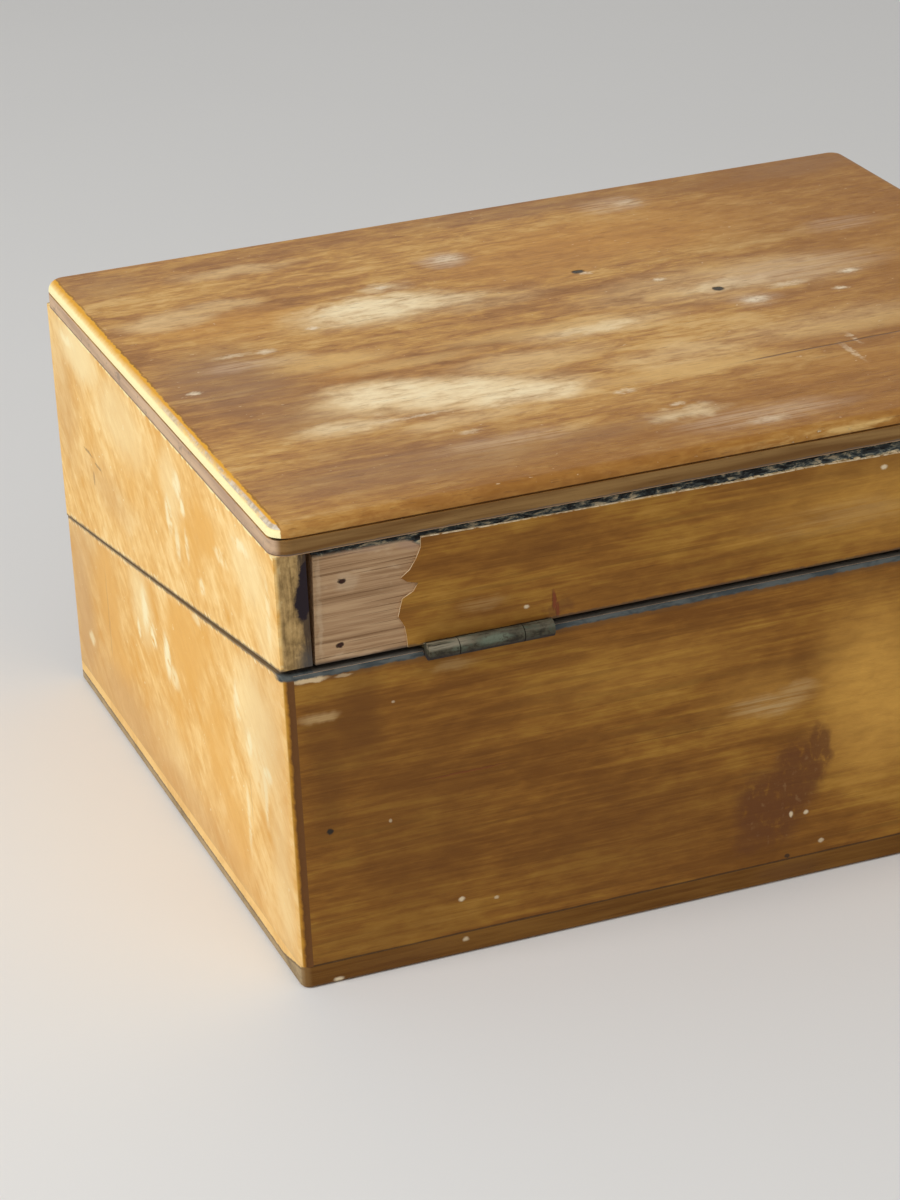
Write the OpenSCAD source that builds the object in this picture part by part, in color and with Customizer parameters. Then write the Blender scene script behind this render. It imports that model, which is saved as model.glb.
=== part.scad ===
// Wooden microscope case. A veneered box is cut apart on a slope into a base and a deeper-fronted lid.
// Two three-knuckle butt hinges join them at the rear, and two swing hooks close the front.
// The origin is the centre of the underside. +X is the right end, +Y the rear, +Z up.

/* [Case] */
// Length over the two end faces
case_l = 304; // [250:1:370]
// Depth from the front face to the rear face
case_w = 250; // [205:1:305]
// Height of the closed case
case_h = 152; // [145:1:190]

/* [Boards] */
// Thickness of the two end walls
end_t = 10; // [8:0.5:14]
// Thickness of the front and rear walls, without their veneer
side_t = 10; // [9:0.5:14]
// Thickness of the bottom board
bottom_t = 7.4; // [5:0.1:12]
// Thickness of the lid's top panel
panel_t = 9.5; // [8:0.5:14]
// Thickness of the veneer on the front and rear
veneer_t = 0.7; // [0.5:0.1:1.5]
// Width of the end wall's own edge that stays bare beside a veneer
lipping_w = 3.7; // [3:0.1:6]

/* [Split] */
// Height of the base at the rear face
base_rear_h = 105; // [90:1:115]
// Height of the base at the front face
base_front_h = 63; // [52:1:78]
// Gap between base and lid at the rear face
rear_gap = 1.5; // [0.8:0.1:2.4]
// Gap between base and lid at the front face
front_gap = 0.3; // [0.2:0.1:1]
// Gap between the lid's rear wall and the top panel
lifted_gap = 0.6; // [0.3:0.1:0.9]
// Gap of the opened rear right lid corner, at its top
open_gap_top = 2.2; // [0.8:0.1:3]
// Gap of the opened rear right lid corner, at its bottom
open_gap_bottom = 0.9; // [0.3:0.1:2]

/* [Edges] */
// Radius of the base's upright corners
base_corner_r = 3; // [1:0.5:3.5]
// Radius of the lid's upright corners
lid_corner_r = 1.2; // [0.5:0.1:3]
// Radius of the base's worn rear rim
rim_r = 2; // [0.5:0.1:3]
// Chamfer under the bottom board's edge
foot_chamfer = 0.8; // [0.3:0.1:1.5]
// Chamfer on the rear wall's edge below the panel
wall_chamfer = 1.8; // [0.5:0.1:3]
// Radius of the top panel's corners, seen from above
panel_corner_r = 6; // [5:0.5:12]
// Radius of the top panel's rounded edge
bead_r = 3.8; // [2:0.1:4.5]
// Width of the groove under the rounded edge
quirk_w = 0.7; // [0.4:0.1:1]
// Depth of the groove under the rounded edge
quirk_d = 0.9; // [0.4:0.1:1.5]

/* [Hinges] */
// Length of each hinge's barrel
hinge_l = 40; // [32:1:50]
// Distance from each end face to the nearer end of its hinge
hinge_inset = 44.7; // [25:0.1:60]
// Diameter of the barrel
barrel_d = 5.3; // [4.4:0.1:6.5]
// Distance of the barrel's axis behind the rear face
barrel_out = 2; // [1.6:0.1:3]
// Length of each of the two outer knuckles
outer_knuckle_l = 9.5; // [7:0.5:12]
// Gap between neighbouring knuckles
knuckle_gap = 0.3; // [0.2:0.1:0.5]
// Diameter of the hinge pins
pin_d = 2.2; // [1.6:0.1:2.6]
// Thickness of a hinge leaf
leaf_t = 1.4; // [1:0.1:1.6]
// Space between the two closed leaves
leaf_gap = 1.2; // [0.8:0.1:1.6]
// Reach of a leaf in from the rear face
leaf_seat = 9; // [7:0.5:9.5]
// Screws in each leaf
leaf_screws = 3; // [2:1:3]
// Distance between a leaf's screws
leaf_screw_pitch = 13; // [10:0.5:14]
// Shank diameter of the hinge screws
leaf_screw_d = 2.2; // [1.8:0.1:2.6]
// Head diameter of the hinge screws
leaf_screw_head_d = 4.4; // [3.4:0.1:4.8]
// Length of the hinge screws
leaf_screw_l = 13; // [9:1:16]

/* [Hooks] */
// Distance from each end face to its hook's pivot
hook_inset = 62; // [40:1:80]
// Height of the pivots above the table
hook_pivot_z = 49; // [44:0.5:50]
// Distance from a hook's pivot to its stud
hook_reach = 27; // [24:0.5:30]
// Angle past upright at which a hook rests on its stud
hook_over = 12; // [5:1:20]
// Thickness of a hook's brass
hook_t = 1.6; // [1.2:0.1:2]
// Width of a hook's arm
hook_arm_w = 4.2; // [3:0.1:5.5]
// Radius of a hook's round ends
hook_end_r = 4.6; // [4:0.1:5.5]
// Diameter of the pivot screws and of the studs' necks
stud_d = 3; // [2.4:0.1:3.4]
// Diameter of the pivot screws' and studs' round heads
stud_head_d = 7; // [6:0.1:8]
// Height of those round heads
stud_head_h = 2; // [1.4:0.1:3]
// Length of those screws and studs in the wood
stud_depth = 7; // [5:0.5:9]

/* [Fittings] */
// Length of the accessory compartment at the right end
accessory_l = 62; // [50:1:80]
// Thickness of the divider
divider_t = 6; // [4:0.5:8]
// Height of the divider above the bottom board
divider_h = 46; // [36:1:50]
// Depth of the grooves that hold the divider
housing_d = 2.5; // [1.5:0.5:4]
// Height of the accessory rack
rack_h = 34; // [28:1:40]
// Length of the rack from the front wall
rack_w = 126; // [110:1:150]
// Diameters of the rack's sockets, from the front
socket_ds = [24, 24, 31];
// Distance between the sockets' axes
socket_pitch = 39; // [36:1:44]
// Depth of the sockets
socket_depth = 25; // [15:1:30]
// Thickness of the two saddles
saddle_t = 14; // [10:1:20]
// Height of the saddles above the bottom board
saddle_h = 44; // [36:1:48]
// Radius of the saddles' hollows
saddle_r = 21; // [15:0.5:26]
// Radius of the saddles' rounded shoulders
saddle_shoulder_r = 14; // [6:1:20]
// Distance from the left end wall to the left saddle
left_saddle_x = 44; // [35:1:60]
// Distance from the divider to the right saddle
right_saddle_x = 34; // [25:1:50]
// Width of the rails for the instrument's foot
rail_w = 12; // [8:1:16]
// Height of those rails
rail_h = 8; // [5:1:12]
// Distance between the rails' inner faces
rail_span = 92; // [60:1:120]
// Leg of the lid's triangular corner blocks
block_leg = 16; // [12:1:22]
// Distance from the lid's rim to its corner blocks
block_rise = 4; // [2:0.5:8]

/* [Fits] */
// Clearance all round a pin in the lid's knuckle and a hook on its screw
running_clear = 0.05; // [0.02:0.01:0.1]
// Clearance all round a fixed screw or pin
fixed_clear = 0.02; // [0.01:0.01:0.05]
// Clearance between a hinge or hook and what it turns past
swing_clear = 0.35; // [0.25:0.05:0.6]
// Clearance beside a board in its groove and a fitting between walls
seat_clear = 0.1; // [0:0.05:0.3]

/* [Hidden] */
$fn = 96;

RIGHT = 1;
LEFT = -1;
REAR = 1;
FRONT = -1;
// Reach of cutters past the wood that they cut
over = 20;

half_l = case_l / 2;
half_w = case_w / 2;
inner_half_l = half_l - end_t;
board_y = half_w - veneer_t;
inner_half_w = board_y - side_t;
panel_z = case_h - panel_t;

// Height and slope of the two cut edges
lid_rear_z = base_rear_h + rear_gap;
lid_front_z = base_front_h + front_gap;
base_slope = atan((base_rear_h - base_front_h) / case_w);
lid_slope = atan((lid_rear_z - lid_front_z) / case_w);
function base_rim_z(y) = base_rear_h + (y - half_w) * tan(base_slope);
function lid_rim_z(y) = lid_rear_z + (y - half_w) * tan(lid_slope);

// The lid leaf lies on the lid's rim, so the barrel's axis hangs below it by a leaf and half the gap
axis_y = half_w + barrel_out;
axis_z = lid_rim_z(axis_y) - (leaf_t + leaf_gap / 2) / cos(lid_slope);
hinge_x = half_l - hinge_inset - hinge_l / 2;
leaf_reach = barrel_out + leaf_seat;
barrel_r = barrel_d / 2;
leaf_screw_y = -(barrel_out + veneer_t + side_t / 2);
leaf_screw_cone = (leaf_screw_head_d - leaf_screw_d) / 2;

hook_x = half_l - hook_inset;
hook_swing = 180 + hook_over;
hook_back = half_w + swing_clear;
stud_x = hook_x - hook_reach * sin(hook_over);
stud_z = hook_pivot_z + hook_reach * cos(hook_over);
stud_stand = hook_t + 2 * swing_clear;
hook_tip_r = 1.8;
hook_tip_reach = 5.6;

divider_x = inner_half_l - accessory_l - divider_t / 2;
rack_floor = 0.5;

// The broken right edge of the lid's rear veneer, as distances from the right end and heights above the rim
tear_line = [
  [45.4, 36], [45.2, 31], [43.4, 27.3], [41.4, 24.5], [38.6, 22.5], [40.4, 21], [43.8, 20], [42.2, 17.5],
  [38.7, 15.8], [37.9, 13.2], [37.1, 10.2], [38.1, 8.5], [38.9, 6.8], [39.4, 3.7], [39.8, -5]
];
// The chipped top edge of that veneer, as distances from the right end and drops below the wall's top
chip_line = [
  [45, 1.0], [64, 1.5], [90, 1.9], [118, 2.1], [150, 2.6], [172, 2.4], [192, 3.1], [214, 3.4], [240, 2.6],
  [262, 1.4], [280, 1.0]
];

// Shared forms

module along_x(length) rotate([90, 0, 90]) linear_extrude(length, center = true) children();

module rounded_outline(length, width, r) {
  square([length - 2 * r, width], center = true);
  square([length, width - 2 * r], center = true);
  for (x = [-1, 1], y = [-1, 1])
    translate([x * (length / 2 - r), y * (width / 2 - r)]) circle(r);
}

// A slab whose edge has the section given as a child, drawn from the corner centres out to the face
module edged_slab(length, width, r, thickness) {
  run_l = length - 2 * r;
  run_w = width - 2 * r;
  translate([-run_l / 2, -run_w / 2, 0]) cube([run_l, run_w, thickness]);
  for (side = [0, 1]) {
    mirror([side, 0, 0]) translate([run_l / 2, 0, 0])
      rotate([90, 0, 0]) linear_extrude(run_w, center = true) children();
    mirror([0, side, 0]) translate([0, run_w / 2, 0]) along_x(run_l) children();
    for (end = [0, 1])
      mirror([side, 0, 0]) mirror([0, end, 0]) translate([run_l / 2, run_w / 2, 0])
        rotate_extrude(angle = 90) children();
  }
}

module panel_edge_section() {
  bead_z = panel_t - bead_r;
  difference() {
    square([panel_corner_r, panel_t]);
    translate([panel_corner_r - quirk_d, bead_z - quirk_w]) square([over, quirk_w]);
    difference() {
      translate([panel_corner_r - bead_r, bead_z]) square(over);
      translate([panel_corner_r - bead_r, bead_z]) circle(bead_r);
    }
  }
}

module bottom_edge_section() {
  polygon([
    [0, 0], [base_corner_r - foot_chamfer, 0], [base_corner_r, foot_chamfer],
    [base_corner_r, bottom_t], [0, bottom_t]
  ]);
}

// Side view of the base above its bottom board, with the rear rim rounded
module base_section() {
  centre_y = half_w - rim_r;
  centre_z = base_rim_z(centre_y) - rim_r / cos(base_slope);
  touch_y = centre_y - rim_r * sin(base_slope);
  polygon([
    [-half_w, bottom_t], [half_w, bottom_t], [half_w, centre_z], [centre_y, centre_z],
    [touch_y, base_rim_z(touch_y)], [-half_w, base_front_h]
  ]);
  translate([centre_y, centre_z]) circle(rim_r);
}

module lid_section() {
  polygon([[-half_w, lid_front_z], [half_w, lid_rear_z], [half_w, panel_z], [-half_w, panel_z]]);
}

module base_body() intersection() {
  along_x(case_l) base_section();
  linear_extrude(case_h) rounded_outline(case_l, case_w, base_corner_r);
}

module lid_body() intersection() {
  along_x(case_l) lid_section();
  linear_extrude(case_h) rounded_outline(case_l, case_w, lid_corner_r);
}

// A block that spans the whole height of the case
module span(x0, x1, y0, y1) translate([x0, y0, 0]) cube([x1 - x0, y1 - y0, case_h]);

module end_region(side) {
  x0 = side == RIGHT ? inner_half_l : -half_l;
  span(x0, x0 + end_t, -half_w, half_w);
}

module long_region(side) {
  y0 = side == REAR ? inner_half_w : -board_y;
  span(-inner_half_l, inner_half_l, y0, y0 + side_t);
}

module veneer_region(side) {
  y0 = side == REAR ? board_y : -half_w;
  span(-half_l + lipping_w, half_l - lipping_w, y0, y0 + veneer_t);
}

// Hinge parts, in a frame whose origin is on the barrel's axis at the hinge's middle

module at_hinge(side) translate([side * hinge_x, axis_y, axis_z]) children();

module barrel(x0, x1, r) translate([x0, 0, 0]) rotate([0, 90, 0]) cylinder(h = x1 - x0, r = r);

// A countersunk screw along -Z with its head's face at the origin
module countersunk(grow) rotate_extrude() polygon([
  [0, 0], [leaf_screw_head_d / 2 + grow, 0],
  [leaf_screw_d / 2 + grow, -leaf_screw_cone],
  [leaf_screw_d / 2 + grow, leaf_screw_d - leaf_screw_l], [0, -leaf_screw_l - grow]
]);

module at_leaf_screws(upward, slope) {
  first = -(leaf_screws - 1) / 2;
  rotate([slope, 0, 0]) for (i = [0 : leaf_screws - 1])
    translate([(first + i) * leaf_screw_pitch, leaf_screw_y, upward * leaf_gap / 2])
      rotate([upward > 0 ? 180 : 0, 0, 0]) children();
}

// Section of a leaf, seen along the barrel, to the given distance from the barrel's axis
module leaf_section(upward, slope, to_axis)
  rotate(slope) translate([-leaf_reach, upward > 0 ? leaf_gap / 2 : -leaf_gap / 2 - leaf_t])
    square([leaf_reach - to_axis, leaf_t]);

// One leaf. Ranges along the barrel say where it carries a knuckle and where it is plain.
module leaf(knuckles, plains, upward, slope, bore_clear) {
  difference() {
    union() {
      for (x = knuckles) translate([(x[0] + x[1]) / 2, 0, 0]) along_x(x[1] - x[0]) difference() {
        union() {
          circle(barrel_r);
          leaf_section(upward, slope, 0);
        }
        circle(pin_d / 2 + bore_clear);
      }
      for (x = plains) translate([(x[0] + x[1]) / 2, 0, 0]) along_x(x[1] - x[0])
        leaf_section(upward, slope, barrel_r + swing_clear);
    }
    at_leaf_screws(upward, slope) countersunk(fixed_clear);
  }
}

module base_leaf() {
  end = hinge_l / 2;
  inner = end - outer_knuckle_l;
  leaf([[-end, -inner], [inner, end]], [[-inner, inner]], -1, base_slope, fixed_clear);
}

module lid_leaf() {
  end = hinge_l / 2;
  inner = end - outer_knuckle_l - knuckle_gap;
  leaf([[-inner, inner]], [[-end, -inner], [inner, end]], 1, lid_slope, running_clear);
}

// Room for the base leaf and the whole barrel in the base's rear edge
module base_mortises() for (side = [LEFT, RIGHT]) at_hinge(side) {
  rotate([base_slope, 0, 0]) translate([-hinge_l / 2, -leaf_reach, -leaf_gap / 2 - leaf_t])
    cube([hinge_l, leaf_reach, over]);
  barrel(-hinge_l / 2 - swing_clear, hinge_l / 2 + swing_clear, barrel_r + swing_clear);
  at_leaf_screws(-1, base_slope) countersunk(fixed_clear);
}

module lid_hinge_cuts() for (side = [LEFT, RIGHT]) at_hinge(side) {
  barrel(-hinge_l / 2 - swing_clear, hinge_l / 2 + swing_clear, barrel_r + swing_clear);
  at_leaf_screws(1, lid_slope) countersunk(fixed_clear);
}

// Hook parts, drawn for the right side and mirrored to the left

module on_side(side) mirror([side == LEFT ? 1 : 0, 0, 0]) children();

// Turns a drawing of the front face so that it lies on the plane y and grows towards the front
module on_front(y) translate([0, -y, 0]) rotate([90, 0, 0]) children();

// A round-headed screw or stud whose head stands clear of a hook
module round_head() {
  sphere_r = (pow(stud_head_d / 2, 2) + pow(stud_head_h, 2)) / (2 * stud_head_h);
  translate([0, 0, -stud_depth]) cylinder(h = stud_depth + stud_stand + stud_head_h / 2, d = stud_d);
  translate([0, 0, stud_stand]) rotate_extrude() intersection() {
    translate([0, stud_head_h - sphere_r]) circle(sphere_r);
    square([stud_head_d, stud_head_h]);
  }
}

module at_pivots() for (side = [LEFT, RIGHT]) on_side(side)
  translate([hook_x, 0, hook_pivot_z]) on_front(half_w) children();

module at_studs() for (side = [LEFT, RIGHT]) on_side(side)
  translate([stud_x, 0, stud_z]) on_front(half_w) children();

module stud_bore() translate([0, 0, -stud_depth - fixed_clear]) cylinder(h = stud_depth + over, d = stud_d + 2 * fixed_clear);

// The right hook's outline, hanging from its pivot at the origin. Its slot opens towards the end face.
module hook_outline() {
  slot_r = stud_d / 2 + swing_clear;
  difference() {
    union() {
      circle(hook_end_r);
      translate([-hook_arm_w / 2, -hook_reach]) square([hook_arm_w, hook_reach]);
      translate([0, -hook_reach]) circle(hook_end_r);
      translate([0, -hook_reach - hook_tip_reach]) circle(hook_tip_r);
      translate([-hook_tip_r, -hook_reach - hook_tip_reach]) square([2 * hook_tip_r, hook_tip_reach]);
    }
    circle(d = stud_d + 2 * running_clear);
    translate([0, -hook_reach]) circle(slot_r);
    intersection() {
      difference() {
        circle(hook_reach + slot_r);
        circle(hook_reach - slot_r);
      }
      translate([0, -hook_reach - over]) square([over, 2 * over]);
    }
  }
}

module hook(side) on_side(side) translate([hook_x, 0, hook_pivot_z])
  on_front(hook_back) linear_extrude(hook_t) hook_outline();

// Base

module base_bottom() color("sienna") edged_slab(case_l, case_w, base_corner_r, bottom_t) bottom_edge_section();

module divider_outline(grow)
  translate([divider_x - divider_t / 2 - grow, -inner_half_w - housing_d, bottom_t])
    cube([divider_t + 2 * grow, 2 * (inner_half_w + housing_d), divider_h + grow]);

module base_long_wall(side) difference() {
  intersection() {
    base_body();
    long_region(side);
  }
  divider_outline(seat_clear);
  if (side == REAR) base_mortises();
  if (side == FRONT) at_pivots() stud_bore();
}

module base_end_wall(side) difference() {
  intersection() {
    base_body();
    end_region(side);
  }
  veneer_region(REAR);
  veneer_region(FRONT);
}

module base_veneer(side) difference() {
  intersection() {
    base_body();
    veneer_region(side);
  }
  if (side == REAR) base_mortises();
  if (side == FRONT) at_pivots() stud_bore();
}

module base_front_wall() color("peru") base_long_wall(FRONT);
module base_rear_wall() color("peru") base_long_wall(REAR);
module base_left_wall() color("burlywood") base_end_wall(LEFT);
module base_right_wall() color("burlywood") base_end_wall(RIGHT);
module base_front_veneer() color("darkgoldenrod") base_veneer(FRONT);
module base_rear_veneer() color("darkgoldenrod") base_veneer(REAR);

// Fittings

module divider() color("tan") divider_outline(0);

module accessory_rack() color("tan") {
  x0 = divider_x + divider_t / 2 + seat_clear;
  x1 = inner_half_l - seat_clear;
  y0 = -inner_half_w + seat_clear;
  first_y = y0 + (rack_w - socket_pitch * (len(socket_ds) - 1)) / 2;
  difference() {
    translate([x0, y0, bottom_t]) cube([x1 - x0, rack_w, rack_h]);
    for (i = [0 : len(socket_ds) - 1])
      translate([(x0 + x1) / 2, first_y + i * socket_pitch, bottom_t + rack_h - socket_depth])
        cylinder(h = socket_depth + over, d = socket_ds[i]);
  }
}

// A board on edge with a round hollow for the instrument's tube and rounded shoulders
module saddle(x) {
  hollow_z = saddle_h - saddle_r / 3;
  width = 2 * (inner_half_w - seat_clear);
  shoulder_y = width / 2 - saddle_shoulder_r;
  translate([x, 0, bottom_t]) along_x(saddle_t) difference() {
    union() {
      translate([-width / 2, 0]) square([width, saddle_h - saddle_shoulder_r]);
      translate([-shoulder_y, 0]) square([2 * shoulder_y, saddle_h]);
      for (side = [-1, 1]) translate([side * shoulder_y, saddle_h - saddle_shoulder_r]) circle(saddle_shoulder_r);
    }
    translate([0, hollow_z]) circle(saddle_r);
    translate([-saddle_r, hollow_z]) square([2 * saddle_r, over]);
  }
}

left_saddle_centre = -inner_half_l + left_saddle_x + saddle_t / 2;
right_saddle_centre = divider_x - divider_t / 2 - right_saddle_x - saddle_t / 2;

module left_saddle() color("tan") saddle(left_saddle_centre);
module right_saddle() color("tan") saddle(right_saddle_centre);

module foot_rails() color("tan") for (side = [0, 1]) mirror([0, side, 0])
  translate([-inner_half_l + seat_clear, rail_span / 2, bottom_t])
    cube([left_saddle_x - 2 * seat_clear, rail_w, rail_h]);

// Hinges on the base

module left_hinge_base_leaf() color("darkseagreen") at_hinge(LEFT) base_leaf();
module right_hinge_base_leaf() color("darkseagreen") at_hinge(RIGHT) base_leaf();

module pin(side) color("darkkhaki") at_hinge(side) barrel(-hinge_l / 2, hinge_l / 2, pin_d / 2);
module left_hinge_pin() pin(LEFT);
module right_hinge_pin() pin(RIGHT);

module base_hinge_screws() color("darkkhaki") for (side = [LEFT, RIGHT])
  at_hinge(side) at_leaf_screws(-1, base_slope) countersunk(0);

module hook_pivot_screws() color("darkkhaki") at_pivots() round_head();

// Lid

module lid_panel() color("sienna") translate([0, 0, panel_z])
  edged_slab(case_l, case_w, panel_corner_r, panel_t) panel_edge_section();

module lid_front_wall() color("peru") difference() {
  intersection() {
    lid_body();
    long_region(FRONT);
  }
  at_studs() stud_bore();
}

// The rear wall has come away from the panel and from the right end wall, and its upper edge is worn off
module lid_rear_wall() color("rosybrown") difference() {
  intersection() {
    lid_body();
    long_region(REAR);
  }
  translate([0, 0, panel_z - lifted_gap]) span(-half_l, half_l, 0, half_w);
  on_front(-half_w) linear_extrude(2 * side_t) polygon([
    [inner_half_l - open_gap_bottom, 0], [inner_half_l - open_gap_bottom, lid_rear_z],
    [inner_half_l - open_gap_top, panel_z], [half_l, panel_z], [half_l, 0]
  ]);
  translate([0, board_y, panel_z - lifted_gap]) along_x(case_l)
    polygon([[over, over], [over, -wall_chamfer], [0, -wall_chamfer], [-wall_chamfer, 0], [-wall_chamfer, over]]);
  lid_hinge_cuts();
}

module lid_left_wall() color("burlywood") difference() {
  intersection() {
    lid_body();
    end_region(LEFT);
  }
  veneer_region(REAR);
  veneer_region(FRONT);
}

// The torn veneer took the right end wall's lipping with it
module lid_right_wall() color("burlywood") difference() {
  intersection() {
    lid_body();
    end_region(RIGHT);
  }
  span(-half_l, half_l, board_y, half_w);
  veneer_region(FRONT);
}

module lid_front_veneer() color("darkgoldenrod") difference() {
  intersection() {
    lid_body();
    veneer_region(FRONT);
  }
  at_studs() stud_bore();
}

module lid_rear_veneer() color("darkgoldenrod") {
  wall_top = panel_z - lifted_gap;
  last_chip = chip_line[len(chip_line) - 1];
  difference() {
    intersection() {
      lid_body();
      veneer_region(REAR);
      on_front(-half_w) linear_extrude(side_t) polygon([
        for (p = tear_line) [half_l - p[0], min(lid_rear_z + p[1], wall_top - chip_line[0][1])],
        [-half_l, lid_rear_z - over],
        [-half_l, wall_top - last_chip[1]],
        for (i = [len(chip_line) - 1 : -1 : 1]) [half_l - chip_line[i][0], wall_top - chip_line[i][1]]
      ]);
    }
    lid_hinge_cuts();
  }
}

module lid_corner_blocks() color("tan") for (end = [0, 1], side = [FRONT, REAR]) {
  z0 = lid_rim_z(side * inner_half_w) + block_rise;
  mirror([end, 0, 0]) translate([inner_half_l, side * inner_half_w, z0])
    linear_extrude(panel_z - z0) polygon([[0, 0], [-block_leg, 0], [0, -side * block_leg]]);
}

module left_hinge_lid_leaf() color("darkseagreen") at_hinge(LEFT) lid_leaf();
module right_hinge_lid_leaf() color("darkseagreen") at_hinge(RIGHT) lid_leaf();

module lid_hinge_screws() color("darkkhaki") for (side = [LEFT, RIGHT])
  at_hinge(side) at_leaf_screws(1, lid_slope) countersunk(0);

module hook_studs() color("darkkhaki") at_studs() round_head();

// Hooks

module left_hook() color("goldenrod") hook(LEFT);
module right_hook() color("goldenrod") hook(RIGHT);

base_bottom();
base_front_wall();
base_rear_wall();
base_left_wall();
base_right_wall();
base_front_veneer();
base_rear_veneer();
divider();
accessory_rack();
left_saddle();
right_saddle();
foot_rails();
left_hinge_base_leaf();
right_hinge_base_leaf();
left_hinge_pin();
right_hinge_pin();
base_hinge_screws();
hook_pivot_screws();
lid_panel();
lid_front_wall();
lid_rear_wall();
lid_left_wall();
lid_right_wall();
lid_front_veneer();
lid_rear_veneer();
lid_corner_blocks();
left_hinge_lid_leaf();
right_hinge_lid_leaf();
lid_hinge_screws();
hook_studs();
left_hook();
right_hook();
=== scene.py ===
import math
import random

import bmesh
import bpy
from mathutils import Matrix, Vector


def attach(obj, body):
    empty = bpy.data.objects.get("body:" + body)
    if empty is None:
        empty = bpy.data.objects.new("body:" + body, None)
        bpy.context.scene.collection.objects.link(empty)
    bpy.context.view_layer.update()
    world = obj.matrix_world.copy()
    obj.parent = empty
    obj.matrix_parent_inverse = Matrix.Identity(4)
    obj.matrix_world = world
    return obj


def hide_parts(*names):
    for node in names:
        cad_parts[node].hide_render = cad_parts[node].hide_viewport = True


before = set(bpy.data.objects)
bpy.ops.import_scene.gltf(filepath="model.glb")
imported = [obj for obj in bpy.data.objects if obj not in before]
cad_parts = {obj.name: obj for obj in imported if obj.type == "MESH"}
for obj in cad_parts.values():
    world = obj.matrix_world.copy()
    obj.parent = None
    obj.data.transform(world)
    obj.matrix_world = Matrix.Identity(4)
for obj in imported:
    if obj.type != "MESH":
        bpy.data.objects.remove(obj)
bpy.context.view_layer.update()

MM = 0.001

# Sizes of the case, in millimetres, as the part has them
HALF_L = 152.0
HALF_W = 125.0
CASE_H = 152.0
PANEL_Z = 142.5
BOARD_Y = 124.3
BASE_REAR_Z = 105.0
BASE_SLOPE = 0.168
LID_REAR_Z = 106.5
LID_SLOPE = 0.1728
BOTTOM_T = 7.4
HINGE_X = 87.3
HINGE_Y = 127.0
HINGE_Z = 104.816
BASE_TILT = 9.537
LID_TILT = 9.804
LEAF_SCREW_PITCH = 13.0
LEAF_SCREW_Y = -7.7
HALF_LEAF_GAP = 0.6
PIVOT_X = 90.0
PIVOT_Z = 49.0
STUD_X = 84.386
STUD_Z = 75.41
HEAD_TOP_Y = 129.3

# Screwdriver slots, as length, width and depth
LEAF_SLOT = (5.0, 0.8, 0.7)
FRONT_SLOT = (8.0, 1.1, 1.0)
SCREW_SEED = 11

# Flakes along the chipped edge
FLAKE_SEED = 5
FLAKES_FROM = 103.0
FLAKES_TO = -126.0
FLAKE_CORNERS = 7

END_GRAIN_TILT = 38.0
FLOOR_REACH = 9.0
FILL_LIGHT = 0.42
BACKDROP = (0.93, 0.93, 0.92)

# The photograph's camera: metres, radians and millimetres of lens
CAMERA_PLACE = (0.43472, 1.06561, 0.56255)
CAMERA_YAW = -0.34320
CAMERA_PITCH = 0.41785
CAMERA_ROLL = -0.05032
CAMERA_LENS = 111.18
SENSOR_W = 36.0

# Colours, as linear values
DARK_BROWN = (0.27, 0.115, 0.032)
BROWN = (0.42, 0.20, 0.058)
ORANGE_BROWN = (0.56, 0.30, 0.082)
GOLDEN = (0.72, 0.45, 0.17)
BLEACHED = (0.84, 0.60, 0.31)
CREAM = (1.0, 0.83, 0.53)
MAUVE = (0.31, 0.17, 0.085)
CHALK = (0.86, 0.71, 0.50)
WORN_ORANGE = (0.74, 0.36, 0.030)
END_PALE = (1.0, 0.71, 0.31)
END_GOLD = (0.92, 0.58, 0.20)
END_ORANGE = (0.80, 0.41, 0.075)
END_DULL = (0.60, 0.36, 0.16)
END_WHITE = (1.0, 0.88, 0.54)
VENEER_DARK = (0.15, 0.055, 0.010)
VENEER_BROWN = (0.29, 0.122, 0.020)
VENEER_OLIVE = (0.37, 0.178, 0.028)
VENEER_GOLD = (0.66, 0.35, 0.070)
STAIN = (0.15, 0.055, 0.018)
BARE = (0.53, 0.33, 0.18)
BARE_DARK = (0.36, 0.21, 0.11)
BARE_PALE = (0.66, 0.46, 0.28)
# Near black, for nail holes and for painted shade under the lid's panel
GRIME_AND_SHADE = (0.035, 0.026, 0.018)
BLUE_DIRT = (0.050, 0.060, 0.062)
PALE_DIRT = (0.105, 0.115, 0.11)
CHIP = (0.80, 0.66, 0.44)
PATINA = (0.044, 0.037, 0.022)
# Painted shade under the hinge barrels
UNDERSIDE_SHADE = (0.030, 0.024, 0.026)
# Pale top of the hinge barrels, partly rubbed brass and partly a painted highlight
RUBBED_AND_HIGHLIGHT = (0.27, 0.235, 0.165)
PATINA_GREEN = (0.062, 0.072, 0.048)
BRASS = (0.52, 0.37, 0.15)
BRASS_DARK = (0.14, 0.095, 0.045)
BRASS_BRIGHT = (0.78, 0.60, 0.28)
FLOOR = (0.80, 0.79, 0.77)

WOOD_GLOSS = 0.12
METAL_GLOSS = 0.5
PATINA_GLOSS = 0.2


class Field:
    """A number that varies over a surface, held as the output of a node."""

    def __init__(self, graph, socket):
        self.graph = graph
        self.socket = socket

    def __add__(self, other):
        return self.graph.math("ADD", self, other)

    def __sub__(self, other):
        return self.graph.math("SUBTRACT", self, other)

    def __rsub__(self, other):
        return self.graph.math("SUBTRACT", other, self)

    def __mul__(self, other):
        return self.graph.math("MULTIPLY", self, other)

    def __or__(self, other):
        return self.graph.math("MAXIMUM", self, other)

    def __abs__(self):
        return self.graph.math("ABSOLUTE", self)

    __radd__ = __add__
    __rmul__ = __mul__


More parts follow.
